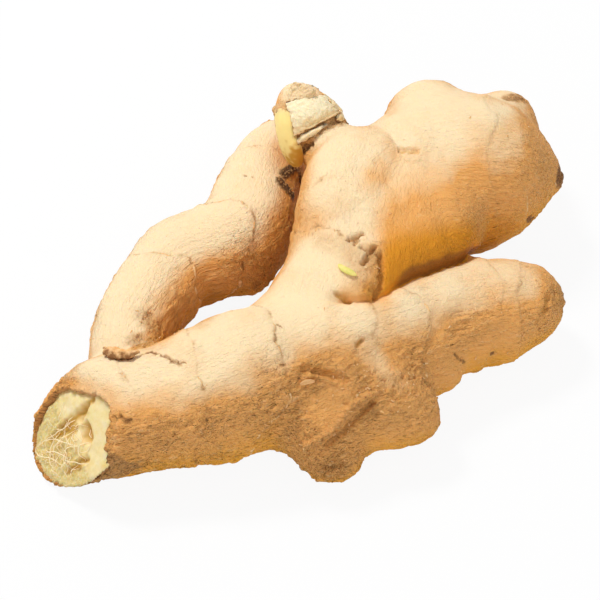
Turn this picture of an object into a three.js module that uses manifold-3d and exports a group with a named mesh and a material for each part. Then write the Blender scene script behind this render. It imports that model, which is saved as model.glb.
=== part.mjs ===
// A hand of ginger: one rhizome, snapped off at one end, lying on a flat surface.
// Units are millimetres. +Z is up, +X runs along the front finger from the snapped end to its tip, and
// the other fingers grow towards +Y. The origin is on the surface, under the middle of the hand.
import * as THREE from 'three';
import { MarchingCubes } from 'three/addons/objects/MarchingCubes.js';
import { mergeVertices } from 'three/addons/utils/BufferGeometryUtils.js';
import Module from 'manifold-3d';

// ---- Driving dimensions -------------------------------------------------------------------------
const JOINT_FILLET = 5; // how softly one finger grows out of another
const BEAD_STEP = 1.2; // spacing of the spheres that fill a finger
const SNAP_MIDDLE = [-65, -52, 15]; // middle of the snapped end face
const SNAP_FACING = [-0.68, -0.46, 0.57]; // the way that face looks

const FIELD_REACH = 96; // half the side of the cube in which the skin is looked for
const FIELD_LIFT = 24; // height of that cube's middle above the surface
const FIELD_CELLS = 56; // cells along its side
const CORNER_CLEARANCE = 0.1; // how near the skin may come to a cell's corner
const EVENING_ROUNDS = 10; // how often the steps left by the cells are evened out

// Every finger is a smooth line of [x, y, z, radius], from where it grows out to its tip.
const FINGERS = {
  front: [
    [-79, -56.8, 13.5, 12.3], [-64, -52, 14.6, 14.2], [-54, -48, 16, 16], [-43, -45.8, 16.5, 16.4],
    [-31, -43, 17.5, 17.8], [-18, -38, 19, 19.5], [-3, -31, 18, 18.5], [11, -25, 18, 18.5],
    [25, -19, 17, 17.5], [39, -13, 16, 16], [51, -10, 15, 14.8], [57, -8.6, 15, 12.9], [61, -8, 15, 9.7],
  ],
  tip: [[61.4, -9, 15, 8.2], [62, -6.3, 16, 8.8]],
  left: [
    [-51.5, -26, 16, 10.4], [-49.5, -15, 15, 11.6], [-45.5, -6, 15, 12], [-38.3, 8.3, 14, 13.6],
    [-27, 13, 15, 13.6], [-19, 21, 14.5, 14.9], [-15.5, 36, 14, 13.2], [-12, 49, 14, 11.5],
    [-10, 56, 15, 8.5],
  ],
  spur: [[-22, 13, 15, 11], [-17.8, 7, 12.5, 6.2]],
  neck: [
    [-2, -24.5, 20, 16], [2.6, -14, 23, 14], [7, -1, 27, 13], [9, 9, 33, 13], [13, 23, 33, 15],
    [21, 30, 29, 14.5], [34, 33, 26, 20.5], [43, 35, 25, 23], [50, 36.4, 24, 22], [57, 37, 23, 14],
  ],
  belly: [[10, -2, 27, 11.5], [21, 8.7, 28.8, 13.5], [33, 19.8, 28, 16.5]],
  fold: [
    [4, -14, 28.5, 11.5], [12.5, -16, 31, 9.8], [20, -10, 30, 8.6], [29, -3, 29, 8.6], [37, 2.5, 27.5, 8.2],
  ],
  roll: [[11, -7, 29.5, 11.5], [18, -2.5, 29.5, 12], [27, 5, 29.3, 12.3], [36, 11.5, 28.8, 12.6]],
  shoulder: [[37, 37, 26, 18], [36, 52.2, 29, 13.5]],
  corner: [[58, 53, 26, 11.3], [62, 59, 27, 4.5]],
  toe: [[65, 36, 24, 8.5], [71.7, 35, 22, 4]],
  bud: [[8, 35, 31, 8], [3, 40, 34, 8.5], [-1.5, 45.2, 38, 8.7], [-4, 47.5, 42, 5.4]],
  nub: [[1, -47, 14, 12], [5, -52, 11, 8.5], [5.5, -55.6, 9, 6.2]],
  stub: [[3, -55.2, 8.5, 6], [7.6, -55.2, 8.5, 5.4]],
  heel: [[11, -41, 15, 14], [23, -43, 14, 11], [28, -45.3, 13, 7.1]],
  knuckle: [[30, -28, 15, 9.5], [37, -32, 13, 4]],
};

// ---- The grown shape ----------------------------------------------------------------------------
// A finger as a chain of closely spaced spheres that follow its smooth line.
function beadsOf(points) {
  const places = points.map(([x, y, z]) => new THREE.Vector3(x, y, z));
  const spine = new THREE.CatmullRomCurve3(places, false, 'catmullrom', 0.5);
  const girth = new THREE.SplineCurve(points.map(([, , , r], i) => new THREE.Vector2(i, r)));
  const count = Math.ceil(spine.getLength() / BEAD_STEP);
  return Array.from({ length: count + 1 }, (_, i) => ({
    centre: spine.getPoint(i / count),
    radius: girth.getPoint(i / count).y,
  }));
}

// How deep a place lies inside one finger; negative outside it.
function depthIn(beads, place) {
  let deepest = -Infinity;
  for (const { centre, radius } of beads) {
    deepest = Math.max(deepest, radius - centre.distanceTo(place));
  }
  return deepest;
}

// The larger of two depths, rounded off where they are nearly equal.
function softMax(a, b) {
  const share = Math.max(JOINT_FILLET - Math.abs(a - b), 0) / JOINT_FILLET;
  return Math.max(a, b) + (share * share * JOINT_FILLET) / 4;
}

// The skin of all the fingers together, found by marching through a cube of cells.
function grownSkin() {
  const fingers = Object.values(FINGERS).map(beadsOf);
  const cubes = new MarchingCubes(FIELD_CELLS, undefined, false, false, 20000);
  const along = (index) => ((2 * index) / FIELD_CELLS - 1) * FIELD_REACH;
  const place = new THREE.Vector3();
  for (let k = 0; k < FIELD_CELLS; k++) {
    for (let j = 0; j < FIELD_CELLS; j++) {
      for (let i = 0; i < FIELD_CELLS; i++) {
        place.set(along(i), along(j), along(k) + FIELD_LIFT);
        const depth = fingers.map((beads) => depthIn(beads, place)).reduce(softMax);
        cubes.setCell(i, j, k, Math.abs(depth) < CORNER_CLEARANCE ? CORNER_CLEARANCE : depth);
      }
    }
  }
  cubes.isolation = 0;
  cubes.update();
  const corners = cubes.positionArray.slice(0, cubes.count * 3);
  const skin = new THREE.BufferGeometry();
  skin.setAttribute('position', new THREE.BufferAttribute(corners, 3));
  skin.scale(FIELD_REACH, FIELD_REACH, FIELD_REACH).translate(0, 0, FIELD_LIFT);
  return mergeVertices(skin, 1e-3);
}

// Evens out the steps left by the cells: every corner moves towards the middle of its neighbours, then
// slightly further back out, so that the fingers keep their thickness.
function evenOut(skin) {
  const { array, count } = skin.getAttribute('position');
  const neighbours = Array.from({ length: count }, () => new Set());
  const corners = skin.index.array;
  for (let i = 0; i < corners.length; i += 3) {
    for (const [a, b] of [[0, 1], [1, 2], [2, 0]]) {
      neighbours[corners[i + a]].add(corners[i + b]);
      neighbours[corners[i + b]].add(corners[i + a]);
    }
  }
  for (let round = 0; round < EVENING_ROUNDS; round++) {
    for (const pull of [0.5, -0.52]) {
      const before = array.slice();
      neighbours.forEach((around, corner) => {
        for (let axis = 0; axis < 3; axis++) {
          const here = before[3 * corner + axis];
          let sum = 0;
          for (const other of around) sum += before[3 * other + axis];
          array[3 * corner + axis] = here + pull * (sum / around.size - here);
        }
      });
    }
  }
  return skin;
}

// ---- Solids -------------------------------------------------------------------------------------
const wasm = await Module();
wasm.setup();

function solidOf(geometry) {
  const bare = new THREE.BufferGeometry();
  bare.setAttribute('position', geometry.getAttribute('position'));
  if (geometry.index) bare.setIndex(geometry.index);
  const joined = mergeVertices(bare, 1e-3);
  return new wasm.Manifold(new wasm.Mesh({
    numProp: 3,
    vertProperties: Float32Array.from(joined.getAttribute('position').array),
    triVerts: Uint32Array.from(joined.index.array),
  }));
}

function geometryOf(solid) {
  const mesh = solid.getMesh();
  const geometry = new THREE.BufferGeometry();
  geometry.setAttribute('position', new THREE.BufferAttribute(Float32Array.from(mesh.vertProperties), 3));
  geometry.setIndex(new THREE.BufferAttribute(Uint32Array.from(mesh.triVerts), 1));
  geometry.computeVertexNormals();
  return geometry;
}

// A block that takes away everything on the outer side of a plane.
function blockBeyond(middle, facing) {
  const size = 2 * FIELD_REACH;
  const outward = new THREE.Vector3(...facing).normalize();
  const turn = new THREE.Quaternion().setFromUnitVectors(new THREE.Vector3(0, 0, 1), outward);
  const block = new THREE.BoxGeometry(size, size, size).translate(0, 0, size / 2);
  return solidOf(block.applyQuaternion(turn).translate(...middle));
}

const belowSurface = blockBeyond([0, 0, 0], [0, 0, -1]);
const beyondSnap = blockBeyond(SNAP_MIDDLE, SNAP_FACING);
const rhizomeSolid = solidOf(evenOut(grownSkin())).subtract(belowSurface).subtract(beyondSnap);

// ---- The part -----------------------------------------------------------------------------------
const skinColour = new THREE.MeshStandardMaterial({ color: 0xd9b184, roughness: 0.7, metalness: 0 });
const rhizome = new THREE.Mesh(geometryOf(rhizomeSolid), skinColour);
rhizome.name = 'ginger_rhizome';

const hand = new THREE.Group();
hand.name = 'ginger_hand';
hand.add(rhizome);
export default hand;
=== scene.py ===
"""A hand of fresh ginger, lying on a white table.

The hand grew as one piece, so its skin is one mesh: the solid part is remeshed at an even grain, drawn
onto the grown shape that the fingers describe, and given lumps, ring scars, wrinkles, dents and torn
places. Thin extra meshes ride on it: ragged scale edges along the rings, bud scales, the snapped flesh
and its fibres, loose flakes of skin, a green sprout and crumbs of soil.

Shapes are worked out in millimetres and turned into metres when a mesh is finished.
"""
import itertools
import math
from typing import NamedTuple

import bmesh
import bpy
import numpy as np
from bpy.props import FloatProperty, FloatVectorProperty, IntProperty, PointerProperty
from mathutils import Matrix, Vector
from mathutils.bvhtree import BVHTree


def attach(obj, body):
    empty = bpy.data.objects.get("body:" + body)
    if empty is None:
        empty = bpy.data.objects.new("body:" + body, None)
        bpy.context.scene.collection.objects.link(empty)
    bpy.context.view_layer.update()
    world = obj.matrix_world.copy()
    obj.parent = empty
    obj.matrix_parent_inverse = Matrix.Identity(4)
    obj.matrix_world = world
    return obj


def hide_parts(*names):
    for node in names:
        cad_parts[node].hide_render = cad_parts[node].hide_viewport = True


bl_info = {
    "name": "Ginger hand",
    "version": (1, 0, 0),
    "blender": (4, 5, 0),
    "location": "3D View > Sidebar > Ginger",
    "description": "Models a hand of fresh ginger with its skin, scars, bud and snapped end",
    "category": "Object",
}

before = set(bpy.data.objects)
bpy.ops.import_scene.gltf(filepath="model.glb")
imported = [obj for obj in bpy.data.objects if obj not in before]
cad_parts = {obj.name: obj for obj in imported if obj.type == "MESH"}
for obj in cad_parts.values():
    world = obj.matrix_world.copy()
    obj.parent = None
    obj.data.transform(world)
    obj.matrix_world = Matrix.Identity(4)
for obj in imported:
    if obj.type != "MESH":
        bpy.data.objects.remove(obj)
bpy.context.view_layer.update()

NODE = "ginger_rhizome"
BODY = "root"
MM = 0.001

# ---- The grown shape ------------------------------------------------------------------------------
# Every finger is a smooth line of (x, y, z, radius) in millimetres, from where it grows out to its tip.
FINGERS = {
    "front": (
        (-79, -56.8, 13.5, 12.3), (-64, -52, 14.6, 14.2), (-54, -48, 16, 16), (-43, -45.8, 16.5, 16.4),
        (-31, -43, 17.5, 17.8), (-18, -38, 19, 19.5), (-3, -31, 18, 18.5), (11, -25, 18, 18.5),
        (25, -19, 17, 17.5), (39, -13, 16, 16), (51, -10, 15, 14.8), (57, -8.6, 15, 12.9), (61, -8, 15, 9.7),
    ),
    "tip": ((61.4, -9, 15, 8.2), (62, -6.3, 16, 8.8)),
    "left": (
        (-51.5, -26, 16, 10.4), (-49.5, -15, 15, 11.6), (-45.5, -6, 15, 12), (-38.3, 8.3, 14, 13.6),
        (-27, 13, 15, 13.6), (-19, 21, 14.5, 14.9), (-15.5, 36, 14, 13.2), (-12, 49, 14, 11.5),
        (-10, 56, 15, 8.5),
    ),
    "spur": ((-22, 13, 15, 11), (-17.8, 7, 12.5, 6.2)),
    "neck": (
        (-2, -24.5, 20, 16), (2.6, -14, 23, 14), (7, -1, 27, 13), (9, 9, 33, 13), (13, 23, 33, 15),
        (21, 30, 29, 14.5), (34, 33, 26, 20.5), (43, 35, 25, 23), (50, 36.4, 24, 22), (57, 37, 23, 14),
    ),
    "belly": ((10, -2, 27, 11.5), (21, 8.7, 28.8, 13.5), (33, 19.8, 28, 16.5)),
    "fold": (
        (4, -14, 28.5, 11.5), (12.5, -16, 31, 9.8), (20, -10, 30, 8.6), (29, -3, 29, 8.6),
        (37, 2.5, 27.5, 8.2),
    ),
    "roll": ((11, -7, 29.5, 11.5), (18, -2.5, 29.5, 12), (27, 5, 29.3, 12.3), (36, 11.5, 28.8, 12.6)),
    "shoulder": ((37, 37, 26, 18), (36, 52.2, 29, 13.5)),
    "corner": ((58, 53, 26, 11.3), (62, 59, 27, 4.5)),
    "toe": ((65, 36, 24, 8.5), (71.7, 35, 22, 4)),
    "bud": ((8, 35, 31, 8), (3, 40, 34, 8.5), (-1.5, 45.2, 38, 8.7), (-4, 47.5, 42, 5.4)),
    "nub": ((1, -47, 14, 12), (5, -52, 11, 8.5), (5.5, -55.6, 9, 6.2)),
    "stub": ((3, -55.2, 8.5, 6), (7.6, -55.2, 8.5, 5.4)),
    "heel": ((11, -41, 15, 14), (23, -43, 14, 11), (28, -45.3, 13, 7.1)),
    "knuckle": ((30, -28, 15, 9.5), (37, -32, 13, 4)),
}
# The three limbs whose lines the wrinkles follow, each with the fingers that grow from it.
LIMBS = {
    "front": ("front", "tip", "nub", "stub", "heel", "knuckle"),
    "left": ("left", "spur"),
    "neck": ("neck", "belly", "fold", "roll", "shoulder", "corner", "toe", "bud"),
}
FRONT, LEFT, NECK = range(len(LIMBS))           # the limbs' numbers, in the order above
# Skin facing CROWN_WAY, which leans towards the key light, stays cream and skin turned from it goes tan and
# orange: partly the skin's own tone, partly painted light and shade. The same way sets where it wrinkles.
CROWN_WAY = np.array((-0.18, 0.1, 0.98))        # the way the smooth crowns of the limbs look
CROWN_LEAN, SIDE_LEAN = 1.02, 0.4   # skin leaning that way this much is smooth, this little is wrinkled
JOINT_FILLET = 5.0      # how softly one finger grows out of another (mm)
BEAD_STEP = 1.2         # spacing of the balls that fill a finger (mm)
BEAD_SHARPNESS = 4.0    # how closely the skin follows single balls, per mm
FLOW_SHARPNESS = 0.6    # the same for the direction of the wrinkles, which turns more slowly
SNAP_MIDDLE = np.array((-65.0, -52.0, 15.0))    # middle of the snapped end, and the way it looks
SNAP_FACING = np.array((-0.68, -0.46, 0.57))
SNAP_FACING /= np.linalg.norm(SNAP_FACING)
RIM_SOFTNESS = 0.8      # rounding of the skin's edge at the snapped end (mm)
# The skin near the snapped end that faces SHOULDER_WAY is also painted paler, as painted light.
SHOULDER_WAY = np.array((-0.09, 0.83, 0.55))    # the side on which the skin rolls over that edge
SHOULDER_START = (-2.0, 9.0)    # where the rolling starts and is full on that side (mm from the middle)
SHOULDER_SOFTNESS = 2.0 # extra rounding there
FOOT_SOFTNESS = 1.6     # rounding of the edge where the skin meets the table
GRAIN_LENGTH = 2.6      # how much longer than wide a wrinkle is
FLOW_SHIFT = 60.0       # keeps the wrinkles of one limb unlike those of the next
CREASE_BOX = ((1.0, 52.0), (-np.inf, 4.0), (18.0, np.inf))   # where the neck and lobe meet the front finger
LARGEST_PULL = 1.5      # how far a point is drawn towards the skin in one go (mm)
LEAST_STEEPNESS = 0.15  # keeps that pull in bounds where the depth hardly changes
FAR_OFF = 99.0          # a depth or distance (mm) that means nowhere near

# ---- Numbers over the surface ---------------------------------------------------------------------
def unit(vectors):
    """Every row of vectors at length 1."""
    return vectors / np.maximum(np.linalg.norm(vectors, axis=1), 1e-9)[:, None]


NOISE_SLOPES = unit(np.random.RandomState(8).normal(size=(256, 3)))
NOISE_ORDER = np.random.RandomState(7).permutation(len(NOISE_SLOPES))
NOISE_GAIN = 1.7        # brings the noise to about -1 to 1
SEED_STEP = 37          # how far one seed shifts the order of the slopes
FINER = 2.03            # how much finer each further noise of a fractal is
FRACTAL_SHIFT = 11.3    # keeps the noises of a fractal from lining up


def smoothstep(low, high, value):
    """0 below low, 1 above high and an eased step between them; low may be the larger."""
    t = np.clip((value - low) / (high - low), 0.0, 1.0)
    return t * t * (3.0 - 2.0 * t)


def noise(points, seed=0):
    """Smooth noise from about -1 to 1, one value for every row of points."""
    cell = np.floor(points).astype(np.int64)
    inside = points - cell
    ease = inside**3 * (inside * (inside * 6.0 - 15.0) + 10.0)
    total = np.zeros(len(points))
    for corner in itertools.product((0, 1), repeat=3):
        key = seed * SEED_STEP
        for step in (cell + corner).T:
            key = NOISE_ORDER[(key + step) % len(NOISE_ORDER)]
        share = np.prod(np.where(corner, ease, 1.0 - ease), axis=1)
        total += share * np.einsum("ij,ij->i", NOISE_SLOPES[key], inside - corner)
    return NOISE_GAIN * total


def fractal(points, rounds, seed=0):
    """Noise with finer and fainter noise laid over it."""
    total, size = np.zeros(len(points)), 1.0
    for step in range(rounds):
        total += size * noise(points * FINER**step + FRACTAL_SHIFT * step, seed + step)
        size *= 0.5
    return total


def noise_ways(points, seed):
    """A smooth random way for every row of points."""
    return np.stack([noise(points, seed + axis) for axis in range(3)], axis=1)


def crooked(points, size, amount, seed):
    """Points pushed about by noise, so that what is measured from them comes out crooked."""
    return points + amount * noise_ways(points / size, seed)


def billow(points, seed):
    """Rounded hills with narrow valleys between them, from about -1 to 1."""
    return 2.8 * np.abs(noise(points, seed)) - 0.8


def bump(distance, width):
    """A smooth hump, 1 at no distance."""
    return np.exp(-np.square(distance / width))


def curve_points(points, count):
    """Points evenly placed in the parameter of a smooth line through all the given ones."""
    p = np.array(points, float)
    last = len(p) - 1
    t = np.linspace(0, last, count)
    i = np.minimum(t.astype(int), last - 1)
    f = (t - i)[:, None]
    before = np.where((i == 0)[:, None], 2 * p[0] - p[1], p[np.maximum(i - 1, 0)])
    after = np.where((i == last - 1)[:, None], 2 * p[-1] - p[-2], p[np.minimum(i + 2, last)])
    a, b = p[i], p[i + 1]
    return 0.5 * (
        2 * a + (b - before) * f + (2 * before - 5 * a + 4 * b - after) * f**2
        + (3 * a - before - 3 * b + after) * f**3
    )


class Finger:
    """A finger as a chain of closely spaced balls along its smooth line."""

    def __init__(self, points):
        rough = curve_points(points, 100)[:, :3]
        length = np.linalg.norm(np.diff(rough, axis=0), axis=1).sum()
        balls = curve_points(points, int(np.ceil(length / BEAD_STEP)) + 1)
        self.centres, self.radii = balls[:, :3], np.maximum(balls[:, 3], 1.0)
        self.ahead = np.gradient(self.centres, axis=0)
        steps = np.linalg.norm(self.ahead, axis=1)
        self.ahead /= steps[:, None]
        self.along = np.cumsum(steps)
        self.main_way = self.centres[-1] - self.centres[0]
        self.main_way /= np.linalg.norm(self.main_way)

    def shares(self, points, sharpness):
        """How much each ball counts at each point, the depth there, and the slope of that depth."""
        points, centres = points.astype(np.float32), self.centres.astype(np.float32)
        squares = (points**2).sum(1)[:, None] + (centres**2).sum(1)[None] - 2 * points @ centres.T
        reach = np.sqrt(np.maximum(squares, 1e-6))
        level = np.log(BEAD_STEP / np.sqrt(2 * math.pi * self.radii / sharpness)) + sharpness * self.radii
        power = level.astype(np.float32)[None] - np.float32(sharpness) * reach
        top = power.max(axis=1, keepdims=True)
        share = np.exp(power - top)
        total = share.sum(axis=1, keepdims=True)
        share /= total
        pull = share / reach
        slope = pull @ centres - points * pull.sum(axis=1)[:, None]
        return share, (top + np.log(total))[:, 0].astype(float) / sharpness, slope.astype(float)


FINGER_SHAPES = {name: Finger(points) for name, points in FINGERS.items()}


PART_SIZE = 3000        # points worked on at a time


def in_parts(work, points):
    """Runs work on a few thousand points at a time and joins what it gives."""
    done = [work(points[i:i + PART_SIZE]) for i in range(0, len(points), PART_SIZE)]
    return [np.concatenate(column) for column in zip(*done)]


def grown_part(points):
    """What grown gives, for a few thousand points."""
    (_, depth, slope), *others = (
        finger.shares(points, BEAD_SHARPNESS) for finger in FINGER_SHAPES.values())
    for _, here, tilt in others:
        soft = np.maximum(JOINT_FILLET - np.abs(depth - here), 0) / JOINT_FILLET
        first = np.where(depth > here, 1 - soft / 2, soft / 2)[:, None]
        slope = first * slope + (1 - first) * tilt
        depth = np.maximum(depth, here) + soft**2 * JOINT_FILLET / 4
    return depth, slope


def grown(points):
    """How deep each point lies inside the grown fingers, and the slope of that depth."""
    return in_parts(grown_part, points)


def skin_facing(points):
    """The way the grown skin faces at each point."""
    return unit(-grown(points)[1])


def _softer(first, second, softness):
    """The smaller of two (depth, slope) pairs, rounded off where they are nearly equal."""
    (a, up_a), (b, up_b) = first, second
    soft = np.maximum(softness - np.abs(a - b), 0) / softness
    share = np.where(a < b, 1 - soft / 2, soft / 2)[:, None]
    return np.minimum(a, b) - soft**2 * softness / 4, share * up_a + (1 - share) * up_b


def hand(points):
    """Depth inside the hand as it lies there: grown, snapped off at one end, flat where it rests."""
    snapped = (SNAP_MIDDLE - points) @ SNAP_FACING, np.tile(-SNAP_FACING, (len(points), 1))
    resting = points[:, 2], np.tile((0.0, 0.0, 1.0), (len(points), 1))
    rolled = smoothstep(*SHOULDER_START, (points - SNAP_MIDDLE) @ SHOULDER_WAY)
    whole = _softer(grown(points), snapped, RIM_SOFTNESS + SHOULDER_SOFTNESS * rolled)
    return _softer(whole, resting, FOOT_SOFTNESS)


def onto_skin(points, rounds=3):
    """Moves points onto the skin and gives the outward direction there."""
    for _ in range(rounds):
        depth, slope = hand(points)
        steep = np.maximum(np.einsum("ij,ij->i", slope, slope), LEAST_STEEPNESS)
        points = points + slope * (np.clip(-depth, -LARGEST_PULL, LARGEST_PULL) / steep)[:, None]
    return points, unit(-hand(points)[1])


# ---- Ring scars -----------------------------------------------------------------------------------
# Limb, how raised, how brown, and a few points on the skin (mm) that the ring runs through.
RINGS = (
    ("front", 0.3, 0.35, ((-51, -43, 32), (-50, -47, 33), (-45, -54, 31), (-48, -58, 28), (-48, -62, 21))),
    ("front", 0.7, 0.6, ((-30, -45, 37), (-28, -53, 34), (-27, -56, 30), (-28, -59, 26), (-30, -61, 22))),
    ("front", 1.0, 0.7, ((-21, -23, 32), (-15, -24, 34), (-11, -30, 37), (-9, -40, 37), (-7, -45, 35),
                         (-6, -51, 28), (-8, -53, 26), (-14, -57, 21))),
    ("front", 0.5, 0.4, ((16, -26, 36), (18, -29, 35), (16, -33, 34), (11, -38, 32))),
    ("front", 0.9, 0.6, ((25, -19, 35), (29, -20, 34), (32, -24, 32), (31, -31, 28), (30, -35, 24))),
    ("front", 0.7, 0.3, ((49, -3, 29), (52, -8, 30), (53, -12, 30), (50, -26, 19))),
    ("front", 0.7, 0.4, ((59, -3, 27), (57, -15, 27), (58, -21, 22))),
    ("left", 0.9, 0.8, ((-50, 3, 24), (-43, 1, 27), (-36, 1, 26), (-33, -1, 23), (-33, -5, 21))),
    ("left", 1.0, 1.0, ((-29, 22, 29), (-21, 21, 31), (-17, 16, 29), (-17, 9, 26), (-20, 3, 22))),
    ("left", 0.7, 0.7, ((-16, 45, 26), (-11, 44, 26), (-7, 41, 24))),
    ("neck", 0.8, 0.7, ((-2, 0, 37), (3, -1, 41), (7, -4, 42), (10, -7, 42))),
    ("neck", 1.0, 0.9, ((1, 11, 44), (9, 16, 48), (15, 14, 47), (20, 12, 44), (25, 8, 43), (29, 2, 42),
                        (30, -4, 39), (28, -10, 37))),
    ("neck", 0.3, 0.1, ((41, 9, 41), (43, 4, 37), (44, 0, 32))),
    ("neck", 0.5, 0.15, ((51, 43, 46), (54, 35, 47), (50, 25, 44), (51, 18, 39), (53, 15, 32), (55, 15, 19))),
    ("neck", 0.5, 0.3, ((57, 26, 43), (61, 21, 36), (63, 19, 27))),
)
RING_SPREAD = 7.0       # how far a point on a ring pulls the ring out of its plane (mm)
RING_EASE = 0.05        # how loosely the ring follows those points
RING_REACH = 1.75       # a ring ends this many finger radii from its middle
RING_FADE = 0.35        # over this many finger radii
RING_REACH_AHEAD = 16.0 # how far (mm) a ring swells or pulls in the finger before and behind it
RING_STIFFNESS = 40.0   # how firmly a ring's plane stays square to its finger
CORE_REACH = 2.5        # a ring's core is looked for within this many finger radii of its middle


class Ring:
    """A ring scar: a slightly crooked sheet square to its finger; the scar is where it cuts the skin."""

    def __init__(self, number, limb, raised, brown, points):
        p = np.array(points, float)
        spine = FINGER_SHAPES[limb]
        self.number, self.owner, self.raised, self.brown = number, list(LIMBS).index(limb), raised, brown
        self.points, self.middle = p, p.mean(0)
        ball = int(np.argmin(np.linalg.norm(spine.centres - self.middle, axis=1)))
        ahead, lean = spine.ahead[ball], p - self.middle
        self.facing = np.linalg.solve(lean.T @ lean + RING_STIFFNESS * np.eye(3), RING_STIFFNESS * ahead)
        self.facing /= np.linalg.norm(self.facing)
        to_sheet = (spine.centres - self.middle) @ self.facing
        near = np.linalg.norm(spine.centres - self.middle, axis=1) < CORE_REACH * spine.radii
        ball = int(np.argmin(np.where(near, np.abs(to_sheet), np.inf)))
        self.core, self.radius = spine.centres[ball], spine.radii[ball]
        self.pulls = np.linalg.solve(self.nearness(p) + RING_EASE * np.eye(len(p)), lean @ self.facing)

    def nearness(self, points):
        """How near each point is to each of the points that the ring runs through."""
        return bump(np.linalg.norm(points[:, None] - self.points[None], axis=2), RING_SPREAD)

    def noise(self, points, seed):
        """Noise that is this ring's own."""
        return noise(points, seed + self.number)

    def ahead_of(self, points):
        """Distance of each point ahead of the scar, towards the finger's tip."""
        straight = (points - self.middle) @ self.facing
        torn = (0.7 * self.noise(points / 4.2, 40) + 0.45 * self.noise(points / 1.6, 60)
                + 0.2 * self.noise(points / 0.7, 50))
        return straight - self.nearness(points) @ self.pulls - torn

    def presence(self, points):
        """1 near the ring's own stretch of finger, 0 away from it."""
        off = points - self.core
        return smoothstep(RING_REACH, RING_REACH - RING_FADE, np.linalg.norm(off, axis=1) / self.radius)

    def near(self, points):
        """Numbers of the points that the scar can reach."""
        straight = (points - self.middle) @ self.facing
        return np.flatnonzero((np.abs(straight) < RING_REACH_AHEAD) & (self.presence(points) > 0.02))


RING_SCARS = [Ring(i, *row) for i, row in enumerate(RINGS)]


# ---- Marks in the skin ----------------------------------------------------------------------------
class Mark(NamedTuple):
    """A mark in the skin along a line of points (mm): a dent, welt, scar, spot or torn or soiled place."""
    line: tuple
    half: float             # half its width (mm)
    sunk: float = 0.0       # how deep it is (mm); raised if negative
    # The golden share is partly painted shade in some dents and hollows; the brown share is partly painted
    # shadow in a few hollows, named below.
    gold: float = 0.0       # and how golden, brown, soiled and rough the skin is there
    brown: float = 0.0
    soil: float = 0.0
    rough: float = 0.0


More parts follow.
